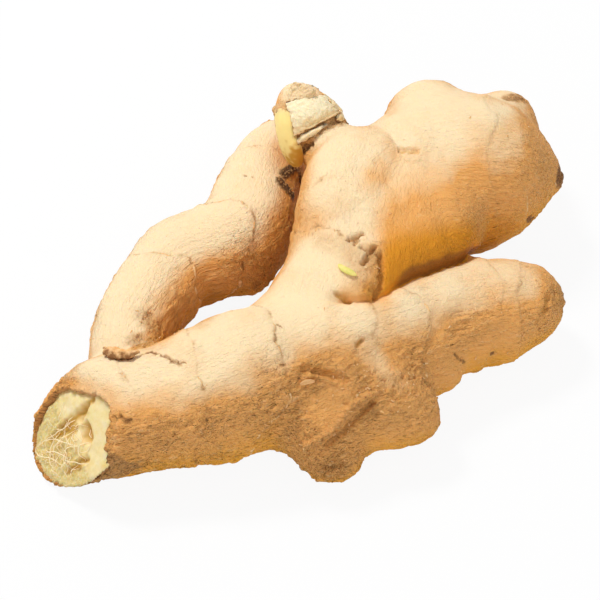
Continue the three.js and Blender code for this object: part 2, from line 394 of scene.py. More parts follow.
MARKS = (
    # long pressed dent, painted golden shade along its upper edge, and the pale welt under it
    Mark(((-1.7, -44.2, 32.5), (1.8, -43.8, 30.8), (5.5, -44.4, 29.4), (8.9, -45.1, 28.9)),
         1.1, sunk=1.2, gold=0.15),
    Mark(((-1.4, -43.3, 33), (2.3, -42.9, 31.3), (6, -43.5, 29.9)),
         0.45, sunk=0.2, gold=0.5, brown=0.1, rough=0.1),
    Mark(((-0.9, -45, 31.4), (2.8, -44.9, 29.5), (6.5, -45.8, 28.6)), 0.8, sunk=-0.8),
    # crumbled skin below the dent, and a filled-out place on the big lobe
    Mark(((5, -48.5, 27.2), (9, -48.6, 27), (12, -47.7, 27.2)), 5, sunk=0.2, brown=0.22, rough=0.6),
    Mark(((26.1, 26.7, 44.5), (24.7, 19.6, 44), (21.6, 12.3, 43.9), (18.1, 6.4, 43.7)), 7.5, sunk=-1.4),
    # small hole, square dent on the lobe, two torn dents on the neck; their golden and brown are partly
    # painted shade in the hollows
    Mark(((12.6, -36.4, 33), (13.6, -35, 33)), 0.9, sunk=0.9, gold=0.9, brown=0.3),
    Mark(((25.5, 24.4, 43.8), (30.3, 23.6, 44.8)), 1.1, sunk=1.1, gold=0.6, brown=0.05, rough=0.1),
    Mark(((25, 21.2, 43.4), (30, 20.6, 44.4)), 1.1, sunk=-0.5),
    Mark(((10.4, -7.3, 41.8), (12, -6.2, 41.8), (13.8, -4.8, 42)),
         0.75, sunk=1.7, gold=0.3, brown=0.35, rough=0.5),
    Mark(((12, -8.8, 41.4), (12.6, -7, 41.7)), 0.55, sunk=1.1, gold=0.3, brown=0.3, rough=0.5),
    Mark(((17.2, -9.3, 41), (15.8, -11.6, 40.9), (14.3, -14.4, 41)),
         0.75, sunk=1.7, gold=0.3, brown=0.35, rough=0.5),
    Mark(((13.6, -9.8, 41.4), (15.4, -10.9, 41)), 0.5, sunk=1, gold=0.2, brown=0.3, rough=0.5),
    # torn skin between neck and front finger; the golden and brown of its deep groove are partly painted
    # shade
    Mark(((16.3, -10.5, 41), (17, -14.7, 40.3), (16.7, -19.3, 39.4), (15.5, -22.8, 38.2)),
         2.3, sunk=0.1, gold=0.1, brown=0.12, rough=1),
    Mark(((18.6, -12, 40.4), (19.4, -15.7, 39.2), (19.2, -19.5, 38.1), (17.8, -22.9, 37.2)),
         1, sunk=2, gold=0.5, brown=0.42, rough=0.4),
    Mark(((10.6, -10.3, 41.6), (12.7, -14.3, 41.2), (13.7, -18.4, 40.4)), 3.2, rough=0.6),
    Mark(((3, -6, 41), (8, -8.5, 41.8)), 3, brown=0.05, rough=0.5),
    # soft brown hollow beside the neck's foot, its golden-brown painted shade where the neck bulges over it
    Mark(((6.7, -23.1, 38.5), (8.3, -24.2, 38.2), (10.4, -25, 37.8)), 0.8, sunk=1.2, gold=0.9, brown=0.3),
    # soil pressed into the left finger beside the neck; the dark hole among them is partly painted shade
    Mark(((-7.8, 35, 24.7), (-6.6, 37.1, 23.8), (-5.4, 38.9, 22.8)), 1.6, sunk=-0.3, soil=1, rough=0.5),
    Mark(((-8.8, 31, 25.8), (-7.1, 30, 24.5), (-5.6, 28.6, 22.6)), 1.7, sunk=-0.3, soil=1, rough=0.5),
    Mark(((-3.9, 42.5, 21.5), (-3.8, 40, 20.8), (-3.2, 37.5, 19.3)),
         1.5, sunk=0.8, brown=1, soil=0.6, rough=0.2),
    # small dark dots on the left finger
    Mark(((-19.2, 31.3, 28.8),), 0.45, sunk=0.15, brown=0.9),
    Mark(((-17.1, 30.3, 29.1),), 0.35, sunk=0.1, brown=0.8),
    # corky scar at the base of the left finger
    Mark(((-45.7, -20.6, 24.9), (-42, -23, 24.5), (-38, -28, 29.5)), 3, brown=0.12, rough=0.9),
    Mark(((-47.9, -28.8, 25.5), (-46.1, -33.7, 27.3), (-43.9, -28.6, 24), (-41.6, -24.8, 20.9)),
         2.2, sunk=-0.2, brown=0.2, rough=1),
    # dark hollow under the folded lip: painted shadow
    Mark(((-54, -36.6, 28.4), (-51.2, -39.8, 30.9), (-48.4, -39.8, 31.4)), 1.1, sunk=0.9, brown=1, rough=0.2),
    # thin lines that run from the lip
    Mark(((-45, -38.6, 32.6), (-42.9, -37.6, 33), (-39, -40.8, 35.5), (-36.2, -43.7, 36.2),
          (-33.5, -44.4, 36.6)), 0.35, sunk=0.25, brown=0.8),
    Mark(((-49.7, -45.3, 32.7), (-48.6, -47, 32.8), (-47.9, -48.8, 32.9)), 0.35, sunk=0.2, brown=0.3),
    # dark spot beside the snapped end
    Mark(((-49.7, -57, 29.1), (-48.2, -57.9, 28.2), (-47.2, -57.6, 28.3)),
         0.7, sunk=0.5, gold=0.1, brown=0.7, rough=0.6),
    Mark(((-51.8, -56.2, 27.6), (-50.6, -57, 27.6)), 0.5, sunk=0.3, gold=0.1, brown=0.5, rough=0.5),
    # flecks on the front finger's crown
    Mark(((-9.1, -32.9, 37.4), (-8.2, -33.6, 37.2)), 0.45, sunk=0.3, brown=0.7, rough=0.3),
    Mark(((-8, -44.8, 35), (-7, -44.6, 34.6)), 0.4, sunk=0.3, brown=0.6, rough=0.2),
    # rough ridge above the small stub, and the torn corky zone to its right
    Mark(((15.5, -48, 26.1), (11, -51, 25), (7, -54.6, 22.2), (3, -57, 20), (-1.7, -58.1, 17.1)),
         1.1, sunk=-1.4, brown=0.05, rough=1),
    Mark(((16.5, -49.4, 25), (9, -56, 20.6), (4, -58.5, 18)), 0.9, sunk=1.3, gold=0.1, brown=0.35, rough=0.4),
    Mark(((10.2, -43.6, 29.2), (19.5, -46, 26.5), (28, -41, 23.5)), 4.6, brown=0.08, rough=0.9),
    Mark(((12, -48, 25.5), (20, -50, 22.5), (28, -46, 21)), 4, sunk=0.1, brown=0.12, rough=0.7),
    # scarred end of the small stub, with a dark cleft
    Mark(((6.3, -62, 12), (6.3, -62.5, 9)), 4.2, sunk=0.2, brown=0.12, rough=0.8),
    Mark(((3.6, -62.2, 12.4), (6.2, -63, 12.8), (8.8, -62.2, 13.4)), 0.7, sunk=1.1, brown=0.3, rough=0.3),
    # soft brown hollow, crack and golden knob on the front finger
    Mark(((39.8, -24.6, 28.1),), 4.2, sunk=0.7, brown=0.22),
    Mark(((39.4, -30.7, 21.2), (41.9, -29.8, 17.1)), 0.45, sunk=0.35, brown=0.8),
    Mark(((46.5, -25.5, 9),), 1.8, sunk=-0.5, gold=0.5, brown=0.2, rough=0.3),
    Mark(((50.4, -25.9, 15.6),), 0.7, sunk=0.3, brown=0.9, rough=0.2),
    # dry end of the front finger with a sunk golden oval
    Mark(((67, -9, 22), (68, -8, 16)), 4.5, sunk=0.2, brown=0.06, rough=0.6),
    Mark(((66.2, -12.6, 24), (65.9, -14.2, 23.3), (65.3, -15.8, 22.5)), 1.2, sunk=1, gold=0.45),
    # rust spots, dry toe and scars of the big lobe
    Mark(((62.7, 42.1, 42), (63.3, 32.3, 41.4)), 3.6, brown=0.2, rough=0.4),
    Mark(((74, 33, 25.5),), 3.4, sunk=0.1, brown=0.9, soil=0.1, rough=0.7),
    Mark(((64.5, 20.1, 20.7), (66, 21.5, 18.5)), 1.2, sunk=0.5, brown=0.9, rough=0.4),
    Mark(((59.6, 53.5, 38.1), (62.5, 56, 34)), 2.2, sunk=0.3, brown=0.6, rough=0.8),
    # brown end of the left finger and of its short spur
    Mark(((-10, 63, 18), (-10, 64, 12)), 3.6, sunk=0.2, brown=0.5, rough=0.8),
    Mark(((-16, 1.9, 12.6),), 2.2, sunk=0.2, brown=0.4, rough=0.5),
    # torn crumbly skin under the bud's scales, with painted shade where it meets the neck
    Mark(((-2, 34.5, 38.5), (2.2, 35.8, 41.6), (7.6, 38.8, 41.2)), 1.7, sunk=0.3, brown=0.35, rough=1),
    Mark(((-2.6, 33.2, 35.4), (-1, 33.3, 37.6), (0.6, 33.2, 39)),
         0.9, sunk=0.8, brown=0.9, soil=0.1, rough=0.5),
)


def line_distance(points, line):
    """Distance of every point from a line through a few points."""
    nearest = np.linalg.norm(points - line[0], axis=1)
    for start, end in zip(line[:-1], line[1:]):
        way = end - start
        share = np.clip((points - start) @ way / (way @ way), 0, 1)[:, None]
        nearest = np.minimum(nearest, np.linalg.norm(points - start - share * way, axis=1))
    return nearest


MARK_LINES = [onto_skin(np.array(mark.line, float), 4)[0] for mark in MARKS]


# ---- Meshes ---------------------------------------------------------------------------------------
def vertex_places(mesh):
    """A mesh's vertices in millimetres."""
    flat = np.empty(len(mesh.vertices) * 3)
    mesh.vertices.foreach_get("co", flat)
    return flat.reshape(-1, 3) / MM


def set_places(mesh, points):
    """Moves a mesh's vertices to points in millimetres."""
    mesh.vertices.foreach_set("co", (points * MM).astype(np.float32).ravel())
    mesh.update()


def set_number(mesh, name, values):
    """Keeps one number for every vertex under a name that the materials read."""
    attribute = mesh.attributes.get(name) or mesh.attributes.new(name, "FLOAT", "POINT")
    attribute.data.foreach_set("value", np.asarray(values, np.float32))


def set_vector(mesh, name, vectors):
    """The same for one vector for every vertex."""
    attribute = mesh.attributes.get(name) or mesh.attributes.new(name, "FLOAT_VECTOR", "POINT")
    attribute.data.foreach_set("vector", np.asarray(vectors, np.float32).ravel())


def skin_numbers(name):
    """The numbers kept under a name for every vertex of the finished skin."""
    mesh = bpy.data.objects["ginger_skin"].data
    values = np.empty(len(mesh.vertices), np.float32)
    mesh.attributes[name].data.foreach_get("value", values)
    return values.astype(float)


def chosen_places(random, count, chance):
    """Places of some of the finished skin's vertices, by chance."""
    places = vertex_places(bpy.data.objects["ginger_skin"].data)
    return places[random.choice(len(places), count, replace=False, p=chance / chance.sum())]


def edge_ends(mesh):
    """The two vertex numbers of every edge."""
    ends = np.empty(len(mesh.edges) * 2, np.int32)
    mesh.edges.foreach_get("vertices", ends)
    return ends.reshape(-1, 2)


def relaxed(points, ends, rounds):
    """Every point moved half way towards the middle of its neighbours, a few times over."""
    a, b = ends.T
    count = np.maximum(np.bincount(ends.ravel(), minlength=len(points))[:, None], 1)
    for _ in range(rounds):
        middle = np.stack([
            np.bincount(a, points[b, axis], len(points)) + np.bincount(b, points[a, axis], len(points))
            for axis in range(3)
        ], axis=1) / count
        points = points + 0.5 * (middle - points)
    return points


def mesh_of(work, name):
    """A mesh from a finished bmesh, which is freed."""
    mesh = bpy.data.meshes.new(name)
    work.to_mesh(mesh)
    work.free()
    return mesh


def in_scene(name, data):
    """A new object in the scene that holds a mesh, curve, lamp or camera."""
    thing = bpy.data.objects.new(name, data)
    bpy.context.scene.collection.objects.link(thing)
    return thing


def finish_piece(name, mesh, material):
    """Puts a finished mesh in the scene as a named piece that rides on the hand's body."""
    mesh.name = name
    mesh.shade_smooth()
    mesh.materials.clear()
    mesh.materials.append(material)
    piece = in_scene(name, mesh)
    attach(piece, BODY)
    return piece


def evaluated_copy(thing):
    """A thing's mesh with its modifiers applied, and the thing itself taken away again."""
    graph = bpy.context.evaluated_depsgraph_get()
    graph.update()
    mesh = bpy.data.meshes.new_from_object(thing.evaluated_get(graph))
    bpy.data.objects.remove(thing)
    return mesh


def delete_corners(work, gone):
    """Takes away the vertices of a bmesh that are marked, with their faces."""
    bmesh.ops.delete(work, geom=[v for v, out in zip(work.verts, gone) if out], context="VERTS")


# ---- The snapped end's outline --------------------------------------------------------------------
SNAP_ACROSS = np.cross((0.0, 0.0, 1.0), SNAP_FACING)
SNAP_ACROSS /= np.linalg.norm(SNAP_ACROSS)
SNAP_UP = np.cross(SNAP_FACING, SNAP_ACROSS)
FLESH_MIDDLE = (1.5, 0.0)       # (across, up) on the snapped face
# Outline of the bare flesh round that middle: angle in degrees and distance in millimetres.
FLESH_OUTLINE = (
    (-180, 13.0), (-167, 13.2), (-152, 14.6), (-132, 16.2), (-118, 17.2), (-101, 16.2), (-74, 14.4),
    (-56, 13.8), (-21, 13.0), (1, 15.0), (9, 15.2), (23, 15.0), (30, 13.6), (45, 14.0), (56, 16.2),
    (69, 17.6), (87, 15.6), (94, 13.2), (114, 12.2), (137, 12.4), (180, 13.0),
)
# Angles between which the skin keeps a rolled, dark-lined edge round the flesh, and is torn and shrunken.
ROLLED_EDGE = (62.0, 205.0)
TORN_EDGE = (-48.0, 22.0)
TORN_LEAST, TORN_MOST = 1.0, 6.5    # how far from the flesh the skin is torn (mm)


def on_snap(across, up, out):
    """Places (mm) from distances across, up and out of the snapped face."""
    return (SNAP_MIDDLE + np.outer(across, SNAP_ACROSS) + np.outer(up, SNAP_UP)
            + np.outer(out, SNAP_FACING))


def within_arc(angle, arc, soft=12.0):
    """1 for angles (degrees) inside an arc, easing to 0 outside it."""
    first, last = arc
    turned = (angle - first) % 360.0
    wide = last - first
    return np.maximum(smoothstep(0.0, soft, turned) * smoothstep(wide + soft, wide, turned),
                      smoothstep(360.0 - soft, 360.0, turned))


def flesh_edge(across, up):
    """Distance inside the outline of the bare flesh (negative outside), and the angle round its middle."""
    x, y = across - FLESH_MIDDLE[0], up - FLESH_MIDDLE[1]
    angle = np.degrees(np.arctan2(y, x))
    turns, reaches = np.array(FLESH_OUTLINE).T
    ragged = np.stack([across, up, np.zeros_like(across)], axis=1)
    reach = np.interp(angle, turns, reaches)
    reach = reach + 0.45 * noise(ragged / 2.3, 248) + 0.25 * noise(ragged / 0.9, 249)
    return reach - np.hypot(x, y), angle


def flesh_share(points, sharp):
    """How the skin gives way at the snapped end: sunk under the flesh, rolled, rimmed and torn shares."""
    off = points - SNAP_MIDDLE
    on_face = smoothstep(2.6, 1.2, -off @ SNAP_FACING)
    inside, angle = flesh_edge(off @ SNAP_ACROSS, off @ SNAP_UP)
    rolled, torn = within_arc(angle, ROLLED_EDGE), within_arc(angle, TORN_EDGE)
    inset = on_face * smoothstep(-sharp / 2, sharp / 2, inside)
    edge = on_face * bump(inside + 0.5, 0.7)
    lip = edge * (0.25 + 0.5 * rolled) * (1 + 0.8 * noise(points / 1.3, 13))
    near_face = smoothstep(13.0, 8.0, -off @ SNAP_FACING)
    first, last = TORN_EDGE
    half_moon = np.sin(np.radians(180 * np.clip((angle - first + 10) / (last - first + 20), 0, 1)))
    inside_band = inside + 0.9 * noise(points / 2.5, 14) + TORN_LEAST + (TORN_MOST - TORN_LEAST) * half_moon
    return {
        "inset": inset, "lip": lip, "rim": np.maximum(on_face * bump(inside + 0.15, 0.4), inset),
        "torn": torn * near_face * smoothstep(-0.5, 0.6, inside_band) * (1 - inset),
        "torn_edge": torn * near_face * bump(inside_band, 0.45) * (1 - inset),
    }


# ---- The skin -------------------------------------------------------------------------------------
SEEN_FROM = 1.0         # skin lower than this (mm) lies on the table and stays plain
UNDERSIDE = -0.65       # so does skin that looks down more steeply than this
MARK_MASKS = ("gold", "brown", "soil", "rough")
LUMPS = ((17.0, 0.5), (7.5, 0.3), (3.4, 0.13))  # size and height (mm) of the lumps all over the skin
ROUGHNESS_HEIGHT = 1.3  # how tall the tatters of torn, corky skin are (mm)
SKIN_UNDER_FLESH = 2.2  # how far the skin's mesh is drawn back under the broken flesh (mm)
CREASE_START, CREASE_END = (3.0, 9.0), (54.0, 44.0)     # x (mm) where the long crease fades in and out
CREASE_DEPTH = 1.3      # how deep the crease over the front finger is cut (mm)
DIP_DEPTH = 1.0         # how deep the skin dips between the limbs further right (mm)
SAG_HEIGHT = 1.5        # how far the lobe sags over it (mm)
LIMB_SHRINK = (1.0, 0.75, 0.45)     # how wrinkled each limb is: front, left, neck
# painted shade: how strongly the colour of each limb's crevices is darkened
LIMB_SHADE = (0.5, 0.6, 1.0)        # how dark each limb's crevices are
TANNED_BULGE = (7.0, -47.5, 27.5)   # middle of the tanned bulge above the small stub
BULGE_WIDTH = 9.0                   # and how far its tan spreads (mm)
# How far out from the skin (mm) the open space is felt for, and how much each such step counts, for the shade
# painted into the crevices.
SKY_STEPS = ((2.5, 0.2), (6.0, 0.3), (12.0, 0.3), (20.0, 0.2))


def even_blank(grain):
    """The solid part's surface, remeshed so that its faces are all about as large as the grain (mm)."""
    work = bmesh.new()
    work.from_mesh(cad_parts[NODE].data)
    bmesh.ops.remove_doubles(work, verts=work.verts, dist=1e-6)
    blank = in_scene("blank", mesh_of(work, "blank"))
    remesh = blank.modifiers.new("grain", "REMESH")
    remesh.mode = "VOXEL"
    remesh.voxel_size = grain * MM
    return evaluated_copy(blank)


def limb_depths(points):
    """How deep each point lies in each limb: one column for every limb."""
    def work(part):
        columns = [
            np.max([FINGER_SHAPES[name].shares(part, BEAD_SHARPNESS)[1] for name in fingers], axis=0)
            for fingers in LIMBS.values()
        ]
        return (np.stack(columns, axis=1),)
    return in_parts(work, points)[0]


def flow_places(points, owner):
    """Places in which the skin's grain runs straight: squeezed along the limb that owns each point."""
    flow = np.zeros_like(points)
    for number, limb in enumerate(LIMBS):
        mine = np.flatnonzero(owner == number)
        if not len(mine):
            continue
        spine = FINGER_SHAPES[limb]

        def work(part, spine=spine):
            share, _, _ = spine.shares(part, FLOW_SHARPNESS)
            ahead = unit(share @ spine.ahead)
            off = part - share @ spine.centres
            off -= ahead * np.einsum("ij,ij->i", off, ahead)[:, None]
            return (off + np.outer(share @ spine.along / GRAIN_LENGTH, spine.main_way),)
        flow[mine] = in_parts(work, points[mine])[0] + FLOW_SHIFT * number
    return flow


def over_front(points):
    """How far the neck's limb stands over the front finger where they meet; FAR_OFF elsewhere."""
    lead = np.full(len(points), FAR_OFF)
    low, high = np.array(CREASE_BOX).T
    near = np.flatnonzero(((points > low) & (points < high)).all(axis=1))
    depths = limb_depths(points[near])
    lead[near] = depths[:, NECK] - depths[:, FRONT]
    return lead


def wrinkled_side(points, outward):
    """1 on the wrinkled sides of the limbs, 0 on their smooth crowns, and how far the skin leans.

    The share also paints the sides tan, partly as painted shade, and the lean paints skin that faces away
    from CROWN_WAY orange, as painted shade.
    """
    lean = outward @ CROWN_WAY + 0.13 * noise(points / 9.0, 5) + 0.05 * noise(points / 3.5, 9)
    return smoothstep(CROWN_LEAN, SIDE_LEAN, lean), lean


def broad_detail(points):
    """True where the skin is wrinkled or scarred enough to need finer faces."""
    outward = onto_skin(points, 1)[1]
    side = wrinkled_side(points, outward)[0]
    fine = (side > 0.1) & (outward[:, 2] > UNDERSIDE) & (points[:, 2] > SEEN_FROM)
    for ring in RING_SCARS:
        near = ring.near(points)
        fine[near] |= np.abs(ring.ahead_of(points[near])) < 2.5
    for line, mark in zip(MARK_LINES, MARKS):
        fine |= line_distance(points, line) < 1.5 * mark.half + 1.0
    return fine | near_snap(points, 4.0, 5.0) | (np.abs(over_front(points)) < 5.0)


def close_detail(points):
    """True where the skin needs its finest faces: on ring lines, crisp marks and the snapped end's edge."""
    fine = near_snap(points, 1.8, 2.4) | (np.abs(over_front(points)) < 1.8)
    for ring in RING_SCARS:
        near = ring.near(points)
        fine[near] |= np.abs(ring.ahead_of(points[near])) < 0.55 + 0.35 * ring.raised
    for line, mark in zip(MARK_LINES, MARKS):
        if abs(mark.sunk) >= 0.4 or mark.half < 1.0 or mark.rough >= 0.8:
            fine |= line_distance(points, line) < mark.half + 0.4
    return fine & (points[:, 2] > SEEN_FROM)


def near_snap(points, out, within):
    """True near the outline of the snapped end."""
    under = (SNAP_MIDDLE - points) @ SNAP_FACING
    return (under < out) & (grown(points)[0] < within)


def refine(mesh, fine):
    """Halves the faces whose corners are marked."""
    work = bmesh.new()
    work.from_mesh(mesh)
    edges = [e for e in work.edges if fine[e.verts[0].index] and fine[e.verts[1].index]]
    bmesh.ops.subdivide_edges(work, edges=edges, cuts=1, use_grid_fill=True)
    work.to_mesh(mesh)
    work.free()


def ring_relief(ring, points, ahead, there):
    """Height and brownness of one ring scar: the edge of a dried scale, broken here and there."""
    patchy = np.clip(0.6 + 0.7 * ring.noise(points / 5.0, 80), 0.1, 1.2)
    broken = smoothstep(-0.7, -0.15, ring.noise(points / 2.6, 100))
    swell = 0.45 * bump(ahead + 2.2, 3.4) - 0.32 * bump(ahead - 2.4, 3.0)
    scale = 0.46 * smoothstep(-3.2, -0.15, ahead) * smoothstep(0.35, -0.05, ahead) * (0.3 + 0.7 * broken)
    groove = 0.26 * bump(ahead - 0.35, 0.4)
    wide = np.clip(0.3 + 0.28 * ring.noise(points / 3.3, 120), 0.13, 0.6)
    bits = smoothstep(0.3, 0.6, ring.noise(points, 140)) * bump(ahead - 0.3, 1.3)
    line = 1.05 * bump(ahead - 0.2, wide) * broken * patchy
    line = line + 0.3 * bump(ahead + 0.3, 1.3) * patchy + 0.5 * bits
    return there * ring.raised * (swell + (scale - groove) * patchy), 0.85 * ring.brown * there * line


def press_marks(points, height, masks):
    """Presses the marks into the skin's height and lays them on its colour masks."""
    for line, mark in zip(MARK_LINES, MARKS):
        near = np.flatnonzero(line_distance(points, line) < 2.2 * mark.half + 1.0)
        crisp = mark.sunk >= 1.0 or max(mark.soil, mark.brown) >= 0.75
        size, amount = (2.5, 0.9) if mark.half >= 2.0 else (1.1, 0.45) if crisp else (1.6, 0.5)
        away = line_distance(crooked(points[near], size, amount, 90), line) / mark.half
        soft = 0.2 if crisp else 0.42
        height[near] -= mark.sunk * smoothstep(1.0 + soft, 0.9 - 1.5 * soft, away)
        inside, around = smoothstep(1.0 + soft, 1.0 - soft, away), smoothstep(1.8, 0.2, away)
        for name, share in (("gold", smoothstep(1.1, 0.1, away)), ("soil", inside),
                            ("brown", np.maximum(inside, 0.5 * around)), ("rough", around)):
            masks[name][near] = np.maximum(masks[name][near], getattr(mark, name) * share)


def skin_relief(points, lead):
    """Height of the skin (mm) above the grown shape, and the colour masks that go with it."""
    height, masks = np.zeros(len(points)), {name: np.zeros(len(points)) for name in MARK_MASKS}
    for seed, (size, tall) in enumerate(LUMPS, 1):
        height += tall * noise(points / size, seed)
    for ring in RING_SCARS:
        near = ring.near(points)
        here = points[near]
        owned = smoothstep(-1.5, 1.5, lead[near, ring.owner])
        raised, brown = ring_relief(ring, here, ring.ahead_of(here), ring.presence(here) * owned)
        height[near] += raised
        masks["brown"][near] = np.maximum(masks["brown"][near], brown)
    press_marks(points, height, masks)
    bent = crooked(points, 1.1, 0.5, 22)
    torn = 0.5 * noise(bent / 2.6, 20) + 0.34 * (1 - 2.4 * np.abs(noise(bent / 1.7, 21)))
    torn += 0.22 * noise(bent / 0.6, 23)
    height += ROUGHNESS_HEIGHT * masks["rough"] * torn
    return height, masks


def wrinkle_folds(points, flow):
    """Folds of the skin that run along the limbs, from about -1 to 1."""
    wave = flow + 0.8 * noise_ways(points / 6.0, 7) + 0.3 * noise_ways(points / 2.2, 17)
    return 0.5 * billow(wave / 1.9, 10) + 0.3 * billow(wave / 1.15, 11) + 0.35 * noise(wave / 3.6, 12)


def fine_blank(grain):
    """The even blank drawn onto the hand, with finer faces where there is more to see."""
    mesh = even_blank(grain)
    for detail in (broad_detail, close_detail):
        points, ends = onto_skin(vertex_places(mesh), 2)[0], edge_ends(mesh)
        points = relaxed(points, ends, 2)
        set_places(mesh, points)
        refine(mesh, detail(points))
    return mesh


class Lay:
    """How the smooth skin lies: its points (mm), the way they face and how near they are to each limb."""

    def __init__(self, mesh):
        self.points, self.outward = onto_skin(relaxed(vertex_places(mesh), edge_ends(mesh), 3), 2)
        self.along = self.points[:, 0]
        depths = limb_depths(self.points)
        ranked = np.sort(depths, axis=1)
        self.owner = depths.argmax(axis=1)
        self.gap = ranked[:, -1] - ranked[:, -2]    # depth to which the limb beats the next nearest one
        mine = np.arange(len(LIMBS))[None] == self.owner[:, None]
        self.lead = depths - np.where(mine, ranked[:, [-2]], ranked[:, [-1]])
        # The neck and the lobe lie over the front finger with a sharp crease between them.
        self.beyond = depths[:, NECK] - depths[:, FRONT] + 0.5 * noise(self.points / 3.0, 96)
        self.folded = (smoothstep(*CREASE_START, self.along) * smoothstep(*CREASE_END, self.along)
                       * (self.points[:, 2] > CREASE_BOX[2][0]))
        self.shoulder = smoothstep(18.0, 4.0, (SNAP_MIDDLE - self.points) @ SNAP_FACING)

    def shrunken(self, side):
        """How much the skin has shrunk into wrinkles."""
        calm = smoothstep(0.5, 5.0, self.gap) * smoothstep(0.3, 3.5, self.points[:, 2])
        patches = np.clip(0.8 + 0.5 * noise(self.points / 12.0, 6), 0.25, 1.2)
        shrink = (0.1 + 0.9 * side) * calm * patches * np.array(LIMB_SHRINK)[self.owner]
        return shrink * (1 - 0.45 * smoothstep(24.0, 40.0, self.along) * (self.owner == FRONT))

    def press_creases(self, height):
        """Cuts the creases between the limbs into the height (mm) and lets the lobe sag over them."""
        filled = JOINT_FILLET / 4 * np.maximum(1 - np.abs(self.beyond) / JOINT_FILLET, 0) ** 2
        height -= self.folded * (filled + CREASE_DEPTH * bump(self.beyond, 0.8))
        height -= DIP_DEPTH * bump(self.gap, 1.6) * smoothstep(24.0, 34.0, self.along)
        sagging = smoothstep(62.0, 44.0, self.along) * smoothstep(28.0, 38.0, self.along)
        facing_down = smoothstep(0.35, -0.3, self.outward[:, 2]) * (self.owner == NECK)
        height += SAG_HEIGHT * sagging * facing_down * smoothstep(1.0, 4.0, self.gap)

    def tan(self, places, side, rough):
        """How far the skin goes from cream to tan: sides, low skin and old places more, fresh ones less.

        Partly the skin's own tone and partly painted light and shade: the sides and the lobe's underside go
        tan as painted shade, low skin goes tan towards the table, and the left finger, the small stub and the
        lit shoulder of the snapped end stay paler, the shoulder as painted light.
        """
        front, left, neck = (self.owner == limb for limb in (FRONT, LEFT, NECK))
        # low skin goes tan, more so towards the table
        low = smoothstep(29.0, 22.0, places[:, 2]) * smoothstep(-46.0, -38.0, self.along - places[:, 1] * 0.4)
        stub = (smoothstep(-43.0, -50.0, places[:, 1]) * smoothstep(-10.0, 0.0, self.along)
                * smoothstep(23, 16, places[:, 2]))
        tone = 0.2 * smoothstep(34.0, 56.0, self.along) * front - 0.45 * left
        tone += 0.5 * smoothstep(-26.0, -46.0, self.along) * front
        tone -= 0.5 * stub
        tone += 0.9 * bump(np.linalg.norm(places - TANNED_BULGE, axis=1), BULGE_WIDTH)
        # painted shade: the lobe's underside over the front finger goes tan
        belly = (1.1 * smoothstep(36.0, 10.0, self.beyond) * smoothstep(14.0, 24.0, self.along)
                 * neck * self.folded)
        # painted light: the snapped end's shoulder that faces SHOULDER_WAY stays pale
        pale = 0.6 * self.shoulder * smoothstep(-0.1, 0.5, self.outward @ SHOULDER_WAY)
        return np.clip(1.25 * side - 0.05 + 0.4 * low + tone + belly + 0.5 * rough - pale, 0.0, 1.6)

    def shade(self, places):
        """Painted shade where the skin lies deep: in crevices between limbs and in and beside the long
        crease.
        """
        open_sky = np.zeros(len(places))
        for reach, weight in SKY_STEPS:
            outside = -grown(places + self.outward * reach)[0]
            open_sky += weight * np.clip(outside / reach, 0, 1)
        # painted shade, stronger on the left finger where it meets the neck
        by_neck = 1 + 0.9 * (self.owner == LEFT) * bump(self.gap, 3.0)
        crevice = (1 - open_sky) * np.array(LIMB_SHADE)[self.owner] * by_neck
        crevice *= 1 - 0.25 * smoothstep(8.0, 2.0, self.along) * (self.owner == NECK)
        # painted shade: orange-brown on the lobe's underside above the long crease
        belly_shade = (self.folded * smoothstep(0.0, 1.0, self.beyond) * smoothstep(20.0, 4.0, self.beyond)
                * smoothstep(13.0, 22.0, self.along))
        # painted shadow: a dark line in and beside the long crease
        sunk_in = self.folded * smoothstep(-1.2, 0.2, self.beyond) * smoothstep(9.0, 0.6, self.beyond)
        line_dark = sunk_in * (0.55 + 0.5 * smoothstep(18.0, 28.0, self.along))
        return np.maximum(crevice, np.maximum(0.78 * belly_shade, line_dark))


def build_skin(sizes):
    """The hand's skin as one mesh with its relief and colour masks."""
    mesh = fine_blank(sizes.grain / MM)
    lay = Lay(mesh)
    points, outward = lay.points, lay.outward
    flow = flow_places(points, lay.owner)
    height, masks = skin_relief(points, lay.lead)
    side, lean = wrinkled_side(points, skin_facing(points))
    shrink, folds = lay.shrunken(side), wrinkle_folds(points, flow)
    height += sizes.wrinkle_depth / MM * shrink * folds
    lay.press_creases(height)
    height += 0.5 * lay.shoulder * smoothstep(0.1, 0.7, outward @ SHOULDER_WAY)
    end = flesh_share(points, 0.5)
    masks["brown"] = np.maximum(masks["brown"], 0.75 * end["torn_edge"])
    tatters = 0.6 * fractal(points / np.array((1.1, 1.1, 2.4)), 2, 270) - 0.35
    height += 0.45 * end["torn_edge"] + end["torn"] * tatters

    resting = smoothstep(0.0, 2.5, points[:, 2])
    places = points + outward * (height * resting * (1 - end["inset"]))[:, None]
    places -= SNAP_FACING[None] * (end["inset"] * SKIN_UNDER_FLESH)[:, None]
    places += SNAP_FACING[None] * (end["lip"] * resting)[:, None]
    places[:, 2] = np.maximum(places[:, 2], 0.0)
    set_places(mesh, places)
    # The crevice and under shares are painted shade, and the cream-to-tan share is partly painted light and
    # shade, partly the skin's own tone.
    masks |= {
        "crevice": lay.shade(places), "tanned": lay.tan(places, side, masks["rough"]),
        "under": smoothstep(0.25, -0.75, lean), "wrinkled": shrink, "fold": folds,
        "rim": end["rim"], "torn": end["torn"], "apart": smoothstep(0.4, 2.0, lay.gap),
    }
    for name, values in masks.items():
        set_number(mesh, name, values)
    set_vector(mesh, "flow", flow)
    return mesh


